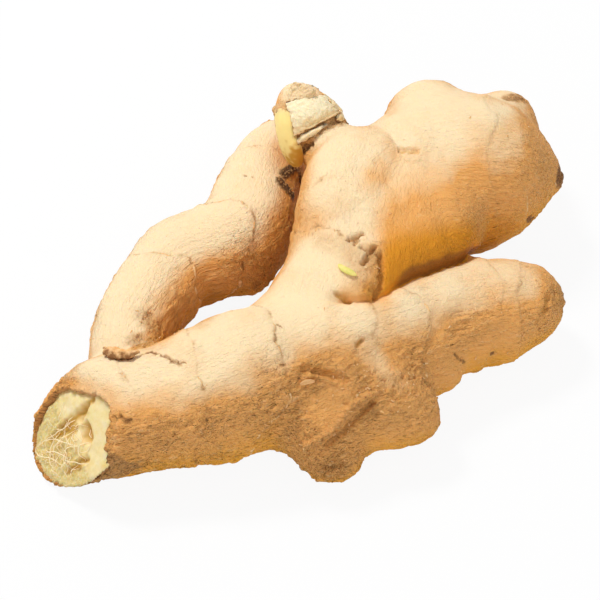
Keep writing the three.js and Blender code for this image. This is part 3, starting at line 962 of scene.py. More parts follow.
# ---- Laying thin pieces on the skin ---------------------------------------------------------------
class Ground:
    """The finished skin, to find places on it (all in millimetres)."""

    def __init__(self):
        graph = bpy.context.evaluated_depsgraph_get()
        self.tree = BVHTree.FromObject(bpy.data.objects["ginger_skin"], graph)

    def nearest(self, points):
        """The nearest place on the skin for every point."""
        found = [self.tree.find_nearest(Vector(point * MM))[0] for point in points]
        return np.array(found, float) / MM

    def beyond(self, start, ways):
        """Where lines from one place first meet the skin; far away where they miss it."""
        start = Vector(start * MM)
        found = [self.tree.ray_cast(start, Vector(way))[0] for way in ways]
        return np.array([place if place is not None else (9, 9, 9) for place in found], float) / MM


def place_corners(work, points, masks):
    """Moves a bmesh's vertices to points (mm) and keeps the masks' numbers with them."""
    layers = [(work.verts.layers.float.new(key), values) for key, values in masks.items()]
    for number, (corner, place) in enumerate(zip(work.verts, points * MM)):
        corner.co = place
        for layer, values in layers:
            corner[layer] = values[number]


def thicken(work, thickness):
    """Gives a sheet a thickness (mm), grown on its under side."""
    bmesh.ops.recalc_face_normals(work, faces=work.faces)
    way = work.verts.layers.float_vector.new("way")
    for corner in work.verts:
        corner[way] = corner.normal
    made = bmesh.ops.extrude_face_region(work, geom=work.faces[:], use_keep_orig=True)
    for corner in made["geom"]:
        if isinstance(corner, bmesh.types.BMVert):
            corner.co -= Vector(corner[way]) * thickness * MM
    work.verts.layers.float_vector.remove(way)
    bmesh.ops.recalc_face_normals(work, faces=work.faces)


def sheet_mesh(name, rows, thickness, masks, skip=None):
    """A thin sheet from rows of points (mm): a grid whose corners are moved there, given a thickness.

    rows is an array of rows by columns by 3; masks are numbers of the same rows and columns. Columns
    where skip is True are left out."""
    down, across = rows.shape[:2]
    work = bmesh.new()
    bmesh.ops.create_grid(work, x_segments=across - 1, y_segments=down - 1, size=1.0)
    place_corners(work, rows.reshape(-1, 3), {key: value.ravel() for key, value in masks.items()})
    if skip is not None:
        delete_corners(work, np.tile(skip, down))
    thicken(work, thickness)
    return mesh_of(work, name)


def joined(name, meshes):
    """Several meshes as one."""
    work = bmesh.new()
    for mesh in meshes:
        work.from_mesh(mesh)
        bpy.data.meshes.remove(mesh)
    return mesh_of(work, name)


def square_to(way):
    """Two directions square to a way and to each other."""
    side = np.cross(way, (0.0, 0.0, 1.0) if abs(way[2]) < 0.8 else (1.0, 0.0, 0.0))
    side /= np.linalg.norm(side)
    return side, np.cross(way, side)


RING_STEP = 0.5         # how finely a ring's ragged edge is drawn (mm)
RING_SLACK = 1.1        # how much longer than a circle round its finger a ring is
EDGE_THICKNESS = 0.12   # thickness of the papery edge (mm)
EDGE_ROOT = 0.7         # how far it reaches back under the skin (mm)
# Its rows: how far ahead of the scar, as shares of its reach, and how high over the skin (mm).
EDGE_ROWS = ((-1.6, -0.35), (-0.7, 0.0), (0.0, 0.1), (0.6, 0.16), (1.0, 0.14))


def ring_edge(ring, ground, lift):
    """The ragged papery edge that a dried scale leaves along a ring."""
    count = int(2 * math.pi * ring.radius * RING_SLACK / RING_STEP)
    turn = np.linspace(0, 2 * math.pi, count)
    first, second = square_to(ring.facing)
    ways = np.outer(np.cos(turn), first) + np.outer(np.sin(turn), second)
    line = ground.beyond(ring.core, ways)
    far = np.linalg.norm(line - ring.core, axis=1) > RING_REACH * ring.radius
    line[far] = ring.core + ways[far] * ring.radius
    for _ in range(3):
        line = ground.nearest(line - ring.facing[None] * ring.ahead_of(line)[:, None])
    outward = skin_facing(line)
    ahead = unit(ring.facing[None] - outward * (outward @ ring.facing)[:, None])
    depths = limb_depths(line)
    lead = depths[:, ring.owner] - np.delete(depths, ring.owner, axis=1).max(axis=1)
    shown = ring.presence(line) * smoothstep(0.0, 2.5, lead) * smoothstep(1.0, 4.0, line[:, 2])
    shown = shown * smoothstep(-0.15, 0.35, ring.noise(line / 2.6, 100)) * ring.raised
    torn = 0.5 + 0.5 * ring.noise(line / 0.55, 130)
    curl = np.clip(ring.noise(line / 1.8, 160), 0, 1)
    reach = 0.12 + 0.5 * torn * shown
    rows, edge = [], []
    for share, height in EDGE_ROWS:
        place = ground.nearest(line + ahead * (share * np.where(share > 0, reach, EDGE_ROOT))[:, None])
        rise = height + lift * max(share, 0.0) ** 2 * curl * 1.2
        rows.append(place + outward * (shown * rise - 0.28 * (1 - shown))[:, None])
        edge.append(np.full(count, max(share, 0.0)) * (0.3 + 0.6 * torn))
    return sheet_mesh("edge", np.array(rows), EDGE_THICKNESS, {"edge": np.array(edge)}, skip=shown < 0.04)


FLAKE_SEED = 23
FLAKE_THICKNESS = 0.1   # thickness of a loose flake (mm)


def scattered_flakes(count):
    """Small loose flakes of skin, most of them along rings and on corky places."""
    random = np.random.RandomState(FLAKE_SEED)
    skin = vertex_places(bpy.data.objects["ginger_skin"].data)
    chance = 0.01 + 0.5 * skin_numbers("rough") ** 2 + 0.15 * skin_numbers("brown")
    chance *= (skin[:, 2] > 2.0) & ((SNAP_MIDDLE - skin) @ SNAP_FACING > 1.0)
    places = chosen_places(random, count, chance)
    meshes = []
    for place, up in zip(places, skin_facing(places)):
        length, width = random.uniform(0.4, 1.2), random.uniform(0.25, 0.6)
        side, other = square_to(up)
        turn = random.uniform(0, 2 * math.pi)
        long_way = math.cos(turn) * side + math.sin(turn) * other
        short_way = np.cross(up, long_way)
        tip = random.uniform(0.1, 0.4)
        rows = np.zeros((3, 4, 3))
        for i, share in enumerate((-0.5, 0.0, 0.5)):
            for j, way in enumerate((0.0, 0.33, 0.66, 1.0)):
                thin = 1 - 0.6 * way * random.uniform(0.4, 1.0)
                rows[i, j] = (
                    place + long_way * length * way + short_way * width * share * thin
                    + up * (0.02 + tip * way**2 + 0.08 * random.uniform(-1, 1))
                )
        masks = {"edge": np.tile((0.2, 0.35, 0.5, 0.7), (3, 1)) * random.uniform(0.4, 1.2)}
        meshes.append(sheet_mesh("flake", rows, FLAKE_THICKNESS, masks))
    return meshes


# ---- The bud's scales -----------------------------------------------------------------------------
# Each scale: how cream, how yellow, how golden at its last row (partly painted shade), how far its first and
# last rows stand off the bud (mm; None leaves the points as they are), and rows of points (mm) that it is
# stretched through.
BUD_SCALES = (
    # broad cream scale in front, its lower edge lifted
    (1.0, 0.0, 0.45, (0.45, 1.25), (
        ((-6.6, 43.0, 45.2), (-2.9, 43.4, 46.7), (0.5, 44.4, 46.5), (3.8, 46.8, 44.7)),
        ((-5.9, 40.9, 44.3), (-2.4, 40.6, 45.3), (2.2, 41.4, 45.0), (6.1, 44.4, 42.9)),
        ((-5.0, 38.6, 42.5), (-1.6, 38.1, 43.4), (2.8, 39.1, 43.7), (7.2, 43.6, 41.7)),
        ((-3.9, 35.9, 39.3), (-1.0, 36.0, 41.4), (3.1, 37.6, 42.7), (8.0, 43.0, 40.8)),
    )),
    # small cream scale behind it on the right
    (0.8, 0.1, 0.6, (0.3, 0.8), (
        ((7.6, 45.6, 40.2), (8.4, 44.8, 39.6), (9.1, 43.6, 39.2)),
        ((7.4, 42.6, 41.2), (8.5, 42.4, 40.6), (9.2, 41.6, 39.8)),
        ((6.9, 38.8, 41.7), (7.9, 38.9, 41.3), (8.8, 39.0, 40.9)),
    )),
    # torn cream strip under the front scale
    (0.75, 0.0, 0.3, (0.4, 1.0), (
        ((-3.9, 34.9, 38.9), (-2.1, 34.9, 40.7), (1.0, 35.6, 42.3), (4.8, 37.6, 43.0)),
        ((-3.6, 34.4, 38.3), (-1.8, 34.4, 40.1), (1.3, 35.0, 41.9), (4.9, 36.9, 42.8)),
        ((-3.4, 34.0, 37.7), (-1.6, 33.9, 39.5), (1.5, 34.3, 41.5), (4.9, 36.2, 42.6)),
    )),
    # smooth yellow crescent down the left side
    (0.5, 1.0, 1.0, None, (
        ((-10.2, 44.5, 41.6), (-8.6, 42.4, 44.4), (-6.4, 40.6, 44.8), (-5.2, 40.0, 43.6)),
        ((-10.0, 41.4, 39.0), (-8.5, 39.0, 42.2), (-6.3, 37.7, 42.7), (-4.8, 37.6, 41.4)),
        ((-9.4, 38.4, 37.2), (-7.9, 36.4, 39.6), (-5.7, 35.4, 40.0), (-4.0, 35.8, 38.8)),
        ((-8.4, 36.2, 34.2), (-6.8, 34.2, 36.2), (-4.6, 33.2, 37.2), (-2.6, 34.0, 36.6)),
        ((-6.9, 35.2, 30.8), (-5.5, 33.2, 32.6), (-3.8, 32.2, 33.6), (-2.2, 33.0, 33.6)),
        ((-4.9, 34.4, 28.8), (-4.3, 33.2, 29.6), (-3.4, 32.6, 30.4), (-2.4, 32.8, 31.0)),
    )),
    # two scales round the back
    (0.6, 0.1, 0.5, (0.3, 0.9), (
        ((-7.0, 50.0, 43.0), (-3.5, 52.0, 44.0), (1.0, 50.5, 43.5)),
        ((-7.5, 51.0, 38.5), (-2.0, 54.0, 39.0), (4.5, 51.0, 39.0)),
        ((-5.0, 51.0, 34.0), (0.0, 52.5, 33.5), (5.5, 49.5, 34.5)),
    )),
    (0.7, 0.1, 0.5, (0.4, 1.0), (
        ((3.0, 49.0, 43.0), (5.5, 46.5, 42.5), (6.5, 44.0, 42.5)),
        ((5.5, 49.5, 39.0), (7.5, 46.5, 39.0), (7.8, 44.0, 39.5)),
        ((7.0, 47.5, 35.0), (9.0, 44.5, 35.0), (9.5, 42.0, 36.0)),
    )),
    # two dry folded leaf tops
    (0.6, 0.0, 0.0, None, (
        ((-9.0, 47.2, 44.6), (-6.6, 47.2, 47.0), (-4.6, 47.4, 50.0), (-1.4, 46.2, 49.6)),
        ((-8.4, 45.8, 44.9), (-6.0, 45.6, 46.9), (-3.6, 45.6, 48.6), (-1.0, 45.2, 48.4)),
        ((-7.8, 44.4, 44.9), (-5.2, 44.4, 46.4), (-3.0, 44.4, 47.4), (-0.8, 44.4, 47.6)),
    )),
    (0.5, 0.0, 0.0, None, (
        ((-4.0, 46.8, 47.4), (-2.0, 46.4, 49.6), (0.2, 45.6, 49.2), (1.6, 45.4, 47.2)),
        ((-5.6, 44.8, 46.8), (-3.0, 44.4, 48.0), (-0.8, 44.0, 48.2), (1.0, 44.2, 47.0)),
        ((-7.0, 43.2, 45.6), (-4.4, 43.2, 46.8), (-1.8, 43.4, 47.3), (0.6, 43.8, 46.9)),
    )),
    # brown edge that runs up beside the crescent
    (0.1, 0.0, 0.0, None, (
        ((-10.4, 45.8, 41.8), (-8.8, 44.6, 44.4), (-7.2, 43.2, 45.4)),
        ((-10.6, 44.8, 40.8), (-8.9, 43.0, 44.0), (-6.6, 41.8, 45.2)),
        ((-10.2, 43.4, 40.6), (-8.4, 41.8, 43.8), (-5.6, 40.4, 44.4)),
    )),
)
SCALE_THICKNESS = 0.45  # thickness of a bud scale (mm)
SCALE_FACES = (36, 38)  # rows and columns of its mesh
SHEET_STEPS = 60        # rows and columns of the smooth sheet that it is cut from
BUD_FACING = np.array((0.0, -0.6, 0.8))     # the side from which the scales are seen


def stretched(control):
    """A smooth sheet of points through a few rows of points."""
    rows = np.stack([curve_points(row, SHEET_STEPS) for row in np.array(control, float)])
    return np.stack([curve_points(rows[:, i], SHEET_STEPS) for i in range(SHEET_STEPS)], axis=1)


def between(sheet, v, u):
    """Places on a sheet at shares v of its rows and u of its columns."""
    down, across = v * (SHEET_STEPS - 1), u * (SHEET_STEPS - 1)
    i, j = (np.minimum(at.astype(int), SHEET_STEPS - 2) for at in (down, across))
    fi, fj = (down - i)[..., None], (across - j)[..., None]
    return (sheet[i, j] * (1 - fi) * (1 - fj) + sheet[i + 1, j] * fi * (1 - fj)
            + sheet[i, j + 1] * (1 - fi) * fj + sheet[i + 1, j + 1] * fi * fj)


def bud_scale(number, cream, yellow, golden, lift, control):
    """One papery scale of the bud, ragged and browned at its edges."""
    v, u = np.meshgrid(*(np.linspace(0, 1, count) for count in SCALE_FACES), indexing="ij")
    smooth = yellow > 0.5
    rim = np.clip(1 - np.minimum(np.minimum(u, 1 - u), np.minimum(v, 1 - v)) * (9 if smooth else 6), 0, 1)
    flat_uv = np.stack([u.ravel(), v.ravel(), np.full(u.size, 3.0 * number)], 1)
    ragged = 0.015 if smooth else 0.06

    def frayed(share, k):
        torn = noise(flat_uv * 7 + k, 200 + k) + 0.15 * noise(flat_uv * 19 + k, 202 + k)
        return np.clip(share + (ragged * torn).reshape(share.shape) * rim, 0, 1)

    flat = between(stretched(control), frayed(v, 1), frayed(u, 0)).reshape(-1, 3)
    if lift:
        depth, slope = grown(flat)
        near_end, far_end = lift
        arch = 0.9 * far_end * (np.sin(math.pi * u) * np.sin(math.pi * np.minimum(1.15 * v, 1.0))).ravel()
        off = depth + near_end + (far_end - near_end) * v.ravel() ** 2 + arch
        flat = flat - unit(slope) * off[:, None]
    rows = flat.reshape(*SCALE_FACES, 3)
    across_way, down_way = (np.gradient(rows, axis=axis).reshape(-1, 3) for axis in (1, 0))
    outward = unit(np.cross(across_way, down_way))
    outward *= np.sign(outward @ BUD_FACING)[:, None]
    rough = 0.25 if smooth else 1.0 if cream > 0.6 else 1.7
    relief = rough * (0.24 * noise(flat / 1.9, 210 + number) + 0.15 * noise(flat / 0.8, 211 + number))
    relief += rough * rim.ravel() * 0.3 * noise(flat / 0.9, 212 + number)
    rows = (flat + outward * relief[:, None]).reshape(rows.shape)
    blotched = noise(flat / 1.4, 214).reshape(v.shape)
    masks = {
        "edge": rim * (1.0 if smooth else 0.45 + 0.55 * v),
        "cream": np.full(rim.shape, cream), "yellow": yellow * (1 - 0.4 * rim),
        # golden last rows, partly painted shade towards the lower edge
        "gold": golden * smoothstep(0.62, 0.95, v + 0.25 * u + 0.25 * blotched),
    }
    return sheet_mesh("scale", rows, SCALE_THICKNESS, masks)


# ---- The snapped end ------------------------------------------------------------------------------
FLESH_GRAIN = 0.34      # size of the flesh mesh's faces (mm)
FLESH_SPAN = (19.0, 20.0)   # half the size of the sheet that the flesh is cut from: across, up (mm)
FLESH_THICKNESS = 0.4
FLESH_FOOT = 0.15       # the flesh stops this far above the table (mm)
# Clefts and pits in the flesh: a line of (across, up) places, half width, depth.
FLESH_CLEFTS = (
    (((1.3, 13.3), (0.6, 9.5), (0.2, 7.7), (-2.2, 0.9), (-4.5, -7.0)), 0.9, 0.7),
    (((0.6, 8.6), (0.0, 6.8)), 1.3, 1.2),
    (((4.6, 4.9), (5.8, 3.9)), 1.7, 1.7),
    (((0.6, 1.6), (-0.6, 0.0), (-3.0, -2.2)), 1.3, 0.6),
    (((9.5, -1.0), (8.0, -4.5), (6.5, -8.5)), 0.9, 0.8),
)


def flesh_height(across, up):
    """Height of the broken flesh over the snapped face's plane, and masks for cleft and fibre."""
    flat = np.stack([across, up, np.zeros_like(across)], axis=1)
    fibrous = smoothstep(3.0, -3.0, up + 0.25 * across + 1.2 * noise(flat / 3.0, 240))
    height = -0.35 + 0.4 * noise(flat / 6.0, 241) + 0.14 * noise(flat / 1.8, 242)
    height += fibrous * (0.45 * fractal(flat / np.array((1.1, 2.6, 1.0)), 3, 243) - 0.1)
    cleft = np.zeros_like(across)
    bent = crooked(flat, 2.2, 0.8, 246) * np.array((1.0, 1.0, 0.0))
    for line, half, depth in FLESH_CLEFTS:
        away = line_distance(bent, np.array([(*place, 0.0) for place in line]))
        here = smoothstep(1.9, 0.1, away / half)
        height -= depth * here
        cleft = np.maximum(cleft, here)
    return height, cleft, fibrous


def build_flesh():
    """The broken flesh: a fine sheet inside the skin's outline, with clefts, pits and fibrous lumps."""
    columns, rows = (int(2 * half / FLESH_GRAIN) for half in FLESH_SPAN)
    work = bmesh.new()
    bmesh.ops.create_grid(work, x_segments=columns, y_segments=rows, size=1.0)
    across, up = np.array([v.co.xy for v in work.verts]).T * np.array(FLESH_SPAN)[:, None]
    height, cleft, fibrous = flesh_height(across, up)
    depth = grown(on_snap(across, up, np.full(len(across), -1.2)))[0]
    inside, angle = flesh_edge(across, up)
    rolled = within_arc(angle, ROLLED_EDGE)
    rim = smoothstep(1.2, 0.0, inside) * rolled
    height -= 0.7 * rim + 0.35 * smoothstep(0.9, -0.2, inside) * (1 - rolled)
    points = on_snap(across, up, height)
    gone = (depth < -0.4) | (inside < -0.7) | (points[:, 2] < FLESH_FOOT + 0.01)
    points[:, 2] = np.maximum(points[:, 2], FLESH_FOOT)
    place_corners(work, points, {"cleft": cleft, "fibrous": fibrous, "rim": rim})
    delete_corners(work, gone)
    thicken(work, FLESH_THICKNESS)
    return mesh_of(work, "snapped_flesh")


# Long fibres that hang over the broken flesh: lines of (across, up, out) places.
LONG_FIBRES = (
    ((-9.5, -14.6, 0.3), (-7.0, -9.5, 1.2), (-3.2, -5.2, 1.6), (1.5, -2.5, 1.3), (5.3, -0.2, 0.5)),
    ((-9.5, -14.6, 0.3), (-6.0, -14.5, 1.2), (-1.5, -11.5, 1.0), (3.5, -9.5, 0.8)),
    ((-7.5, -10.0, 0.6), (-4.5, -4.0, 1.5), (-2.5, 2.0, 0.8), (-1.6, 4.0, 0.1)),
    ((5.3, -0.2, 0.5), (3.0, -3.0, 1.5), (3.2, -7.0, 1.4), (6.0, -8.5, 0.5)),
    ((-4.0, -3.0, 0.8), (-3.4, -7.5, 1.5), (-1.0, -12.5, 1.0), (2.0, -13.0, 0.2)),
    ((0.5, 1.5, 0.5), (-1.4, -3.5, 1.3), (-1.8, -8.5, 1.5), (0.6, -12.8, 0.6)),
    ((2.5, -8.0, 0.4), (5.5, -6.0, 1.4), (9.5, -3.4, 1.1), (12.0, -0.8, 0.3)),
    ((7.0, 2.8, 0.2), (6.0, 0.8, 1.0), (7.2, -1.6, 1.1), (9.4, -2.4, 0.2)),
    ((-5.0, -13.0, 0.3), (-2.0, -9.0, 1.8), (2.6, -6.6, 1.2), (4.5, -7.5, 0.2)),
    ((4.4, 5.4, -0.6), (4.9, 4.2, 0.4), (5.8, 3.8, 0.3)),
    ((5.6, 5.0, -0.6), (6.2, 4.0, 0.3), (6.6, 4.4, 0.2)),
)
FIBRE_RADIUS = 0.13     # radius of a long fibre (mm)
FIBRE_SEED = 31
FIBRE_ROOTS = ((-9, 11), (-15, 1.5))    # where short fibres may start (across, up; mm)
FIBRE_STEPS = 14        # knots of a fibre
FIBRES_DRAWN_IN = 0.9   # all fibres are drawn in by this share towards the middle
FIBRES_MOVED = (0.6, 0.0)   # and moved by this much (across, up; mm)


def build_fibres(count):
    """Thin cream fibres pulled out of the broken flesh."""
    random = np.random.RandomState(FIBRE_SEED)
    lines = [np.array(line, float) for line in LONG_FIBRES]
    for _ in range(count):
        start = np.array([random.uniform(*span) for span in FIBRE_ROOTS])
        turn = random.uniform(0, 2 * math.pi)
        length, bend = random.uniform(2.5, 8.0), random.uniform(-0.9, 0.9)
        line = []
        for share in (0.0, 0.3, 0.65, 1.0):
            way = turn + bend * share * 2
            place = start + length * share * np.array((math.cos(way), math.sin(way)))
            line.append((*place, 1.3 * math.sin(math.pi * share) * random.uniform(0.2, 1.0)))
        line = np.array(line)
        if flesh_edge(line[:, 0], line[:, 1])[0].min() > 0.6:
            lines.append(line)
    curve = bpy.data.curves.new("fibres", "CURVE")
    curve.dimensions = "3D"
    curve.bevel_depth, curve.bevel_resolution = FIBRE_RADIUS * MM, 1
    for number, line in enumerate(lines):
        smooth = curve_points(line, FIBRE_STEPS)
        height = flesh_height(smooth[:, 0], smooth[:, 1])[0]
        smooth[:, :2] = smooth[:, :2] * FIBRES_DRAWN_IN + FIBRES_MOVED
        out = np.maximum(smooth[:, 2] - 0.3, 0.0) + height + 0.1
        points = on_snap(smooth[:, 0], smooth[:, 1], out)
        points[:, 2] = np.maximum(points[:, 2], 0.3)
        spline = curve.splines.new("POLY")
        spline.points.add(len(points) - 1)
        fine = 1.0 if number < len(LONG_FIBRES) else random.uniform(0.45, 0.85)
        for knot, place, thin in zip(spline.points, points * MM, np.linspace(0, math.pi, len(points))):
            knot.co = (*place, 1.0)
            knot.radius = fine * (0.45 + 0.55 * math.sin(thin))
    return evaluated_copy(in_scene("fibres", curve))


# ---- Small pieces ---------------------------------------------------------------------------------
LIP_LINE = ((-55.3, -34.5, 29.2), (-53.2, -37.2, 30.6), (-50.6, -39.0, 32.0), (-48.0, -39.6, 32.9),
            (-45.6, -38.8, 33.0))
LIP_FACING = np.array((0.1, -1.0, 0.1))     # the way the fold opens
LIP_CURL = (-0.3, 3.1, 14)                  # first and last angle (radians) of its curl, and its rows


def build_lip():
    """A fold of dried skin that curls over its own shadow, where the left finger leaves."""
    line = curve_points(LIP_LINE, 46)
    outward = skin_facing(line)
    front = unit(np.cross(outward, unit(np.gradient(line, axis=0))))
    front *= np.sign(front @ LIP_FACING)[:, None]
    size = np.sin(np.linspace(0.2, math.pi - 0.2, len(line))) ** 0.8
    size = size * (1 + 0.55 * noise(line / 3.0, 260) + 0.3 * noise(line / 1.1, 264))
    rows, edge = [], []
    for turn in np.linspace(*LIP_CURL):
        wide = 0.9 - 1.5 * math.cos(turn)
        tall = 1.5 * math.sin(max(turn, 0.0)) + 0.1
        wobble = 0.16 * noise(line / 0.8 + turn, 261) + 0.1 * noise(line / 0.4 + turn, 262)
        rows.append(line + front * (size * (wide - 0.4) + wobble)[:, None]
                    + outward * (size * tall - 0.2 + wobble)[:, None])
        edge.append(0.05 + 0.9 * smoothstep(0.9, 2.4, turn) + 0.3 * noise(line / 2.2 + turn, 263))
    return sheet_mesh("lip", np.array(rows), 0.3, {"edge": np.array(edge)})


SLIVER_LINE = ((-3.2, -47.4, 30.2), (-1.6, -46.9, 30.5), (0.6, -46.2, 30.0))


def build_sliver():
    """A raised sliver of skin beside the long dent."""
    line = curve_points(SLIVER_LINE, 16)
    outward = skin_facing(line)
    front = unit(np.cross(outward, unit(np.gradient(line, axis=0))))
    wide = 0.55 * np.sin(np.linspace(0.15, math.pi - 0.1, len(line)))
    rows = [line + front * (wide * share)[:, None] + outward * (0.25 + 0.5 * abs(share))
            for share in (-1.0, -0.4, 0.3, 1.0)]
    return sheet_mesh("sliver", np.array(rows), 0.2, {"edge": np.zeros((4, len(line)))})


SPROUT_LINE = ((7.3, -15.3, 41.4), (8.6, -16.8, 41.4), (10.5, -18.1, 41.3), (12.3, -19.0, 41.0))
SPROUT_STEPS = 40       # parts into which that line is divided
SPROUT_WIDE, SPROUT_TALL = 0.95, 0.55   # half the shoot's width and height (mm)


def build_sprout():
    """A sliver of fresh green shoot: a long ball bent along its line."""
    work = bmesh.new()
    bmesh.ops.create_uvsphere(work, u_segments=20, v_segments=24, radius=1.0)
    flat = np.array([v.co for v in work.verts])
    share = (flat[:, 2] + 1) / 2
    line = curve_points(SPROUT_LINE, SPROUT_STEPS + 1)
    outward, along = skin_facing(line), unit(np.gradient(line, axis=0))
    side = unit(np.cross(along, outward))
    at = np.clip((share * SPROUT_STEPS).astype(int), 0, SPROUT_STEPS)
    points = line[at] + side[at] * flat[:, [0]] * SPROUT_WIDE + outward[at] * (flat[:, [1]] * SPROUT_TALL)
    points += along[at] * ((share * SPROUT_STEPS - at)[:, None] * 0.15)
    place_corners(work, points, {})
    bmesh.ops.recalc_face_normals(work, faces=work.faces)
    return mesh_of(work, "green_sprout")


CRUMB_SEED = 47


def build_crumbs(count):
    """Crumbs of dried soil and cork where soil is caught in the skin."""
    random = np.random.RandomState(CRUMB_SEED)
    meshes = []
    for place in chosen_places(random, count, skin_numbers("soil") ** 2 + 1e-9):
        work = bmesh.new()
        bmesh.ops.create_icosphere(work, subdivisions=1, radius=1.0)
        size = random.uniform(0.12, 0.5)
        for corner in work.verts:
            corner.co = (Vector(place) + Vector(corner.co) * size * random.uniform(0.6, 1.2)) * MM
        meshes.append(mesh_of(work, "crumb"))
    return meshes


# ---- Materials ------------------------------------------------------------------------------------
class Value:
    """A socket that carries a number; an expression on it adds the Math nodes that work it out."""

    def __init__(self, look, socket):
        self.look, self.socket = look, socket

    def _math(self, operation, *terms, clamp=False):
        found = self.look.node("ShaderNodeMath", {"operation": operation, "use_clamp": clamp},
                               {i: term for i, term in enumerate(terms)})
        return Value(self.look, found.outputs[0])

    def __add__(self, other):
        return self._math("ADD", self, other)

    def __radd__(self, other):
        return self._math("ADD", other, self)

    def __sub__(self, other):
        return self._math("SUBTRACT", self, other)

    def __rsub__(self, other):
        return self._math("SUBTRACT", other, self)

    def __mul__(self, other):
        return self._math("MULTIPLY", self, other)

    def __rmul__(self, other):
        return self._math("MULTIPLY", other, self)

    def clamped(self):
        return self._math("ADD", self, 0.0, clamp=True)

    def size(self):
        return self._math("ABSOLUTE", self)

    def highest(self, other):
        return self._math("MAXIMUM", self, other)

    def step(self, low, high):
        """An eased step from 0 at low to 1 at high."""
        found = self.look.node(
            "ShaderNodeMapRange", {"interpolation_type": "SMOOTHSTEP"},
            {"Value": self, "From Min": low, "From Max": high, "To Min": 0.0, "To Max": 1.0},
        )
        return Value(self.look, found.outputs["Result"])


class Nodes:
    """A node tree that is built node by node."""

    def __init__(self, tree):
        self.tree = tree

    def node(self, kind, settings=None, inputs=None):
        """Adds a node: its settings first, then the values or links of its sockets."""
        node = self.tree.nodes.new(kind)
        for key, value in (settings or {}).items():
            setattr(node, key, value)
        for key, value in (inputs or {}).items():
            self.feed(node.inputs[key], value)
        return node

    def feed(self, socket, value):
        """Links a value to a socket, or sets the socket to it."""
        if isinstance(value, Value):
            value = value.socket
        if isinstance(value, bpy.types.NodeSocket):
            self.tree.links.new(value, socket)
        elif socket.type == "RGBA" and len(value) == 3:
            socket.default_value = (*value, 1.0)
        else:
            socket.default_value = value

    def seen_directly(self):
        """1 for rays from the camera, mirrors and clear things, 0 for light that falls on surfaces."""
        path = self.node("ShaderNodeLightPath")
        camera, glossy, clear = (
            Value(self, path.outputs[f"Is {kind} Ray"]) for kind in ("Camera", "Glossy", "Transmission"))
        return camera.highest(glossy).highest(clear)


class Look(Nodes):
    """A material that is built node by node."""

    def __init__(self, name):
        self.material = bpy.data.materials.new(name)
        self.material.use_nodes = True
        super().__init__(self.material.node_tree)
        self.shader = self.tree.nodes["Principled BSDF"]
        self.output = self.tree.nodes["Material Output"]

    def mask(self, name):
        """A number kept for every vertex of the mesh."""
        found = self.node("ShaderNodeAttribute", {"attribute_name": name, "attribute_type": "GEOMETRY"})
        return Value(self, found.outputs["Fac"])

    def places(self, name=None, scale=(1.0, 1.0, 1.0)):
        """Object places in millimetres, or a vector kept for every vertex, scaled along each axis."""
        if name:
            source = self.node("ShaderNodeAttribute", {"attribute_name": name, "attribute_type": "GEOMETRY"})
            start = source.outputs["Vector"]
        else:
            source = self.node("ShaderNodeTexCoord")
            start = source.outputs["Object"]
            scale = tuple(factor / MM for factor in scale)
        mapping = self.node("ShaderNodeMapping", None, {"Vector": start, "Scale": scale})
        return mapping.outputs["Vector"]

    def grain(self, places, size, detail, roughness=0.5, distortion=0.0):
        """Cloudy noise from 0 to 1 whose blotches are about size millimetres wide."""
        found = self.node("ShaderNodeTexNoise", {"noise_dimensions": "3D"}, {
            "Vector": places, "Scale": 1.0 / size, "Detail": detail, "Roughness": roughness,
            "Distortion": distortion,
        })
        return Value(self, found.outputs[0])

    def cells(self, places, size):
        """Distance from the nearest of scattered points that stand about size millimetres apart."""
        found = self.node("ShaderNodeTexVoronoi", {"voronoi_dimensions": "3D", "feature": "F1"},
                          {"Vector": places, "Scale": 1.0 / size})
        return Value(self, found.outputs["Distance"])

    def painted(self, colour, *coats):
        """A colour with coats laid over it one by one, each given by its share and its own colour."""
        for share, coat in coats:
            node = self.node(
                "ShaderNodeMix", {"data_type": "RGBA", "blend_type": "MIX", "clamp_factor": True},
                {0: share, 6: colour, 7: coat},
            )
            colour = node.outputs[2]
        return colour

    def relief(self, height, depth, under=None):
        """A Bump node for a height from 0 to 1 that is depth millimetres deep."""
        inputs = {"Height": height, "Distance": depth * MM, "Strength": 1.0}
        if under is not None:
            inputs["Normal"] = under
        return self.node("ShaderNodeBump", None, inputs).outputs["Normal"]

    def flesh_through(self, weight, reach):
        """Light that goes into the flesh and comes out warmer; the same all over."""
        self.shader.inputs["Subsurface Weight"].default_value = weight
        self.shader.inputs["Subsurface Radius"].default_value = (1.0, 0.42, 0.16)
        self.shader.inputs["Subsurface Scale"].default_value = reach * MM
        self.shader.inputs["Subsurface Anisotropy"].default_value = 0.0

    def wear(self, colour, roughness, normal):
        """The finished material."""
        self.feed(self.shader.inputs["Base Color"], colour)
        self.feed(self.shader.inputs["Roughness"], roughness)
        self.feed(self.shader.inputs["Normal"], normal)
        self.shader.inputs["Specular IOR Level"].default_value = 0.25
        return self.material


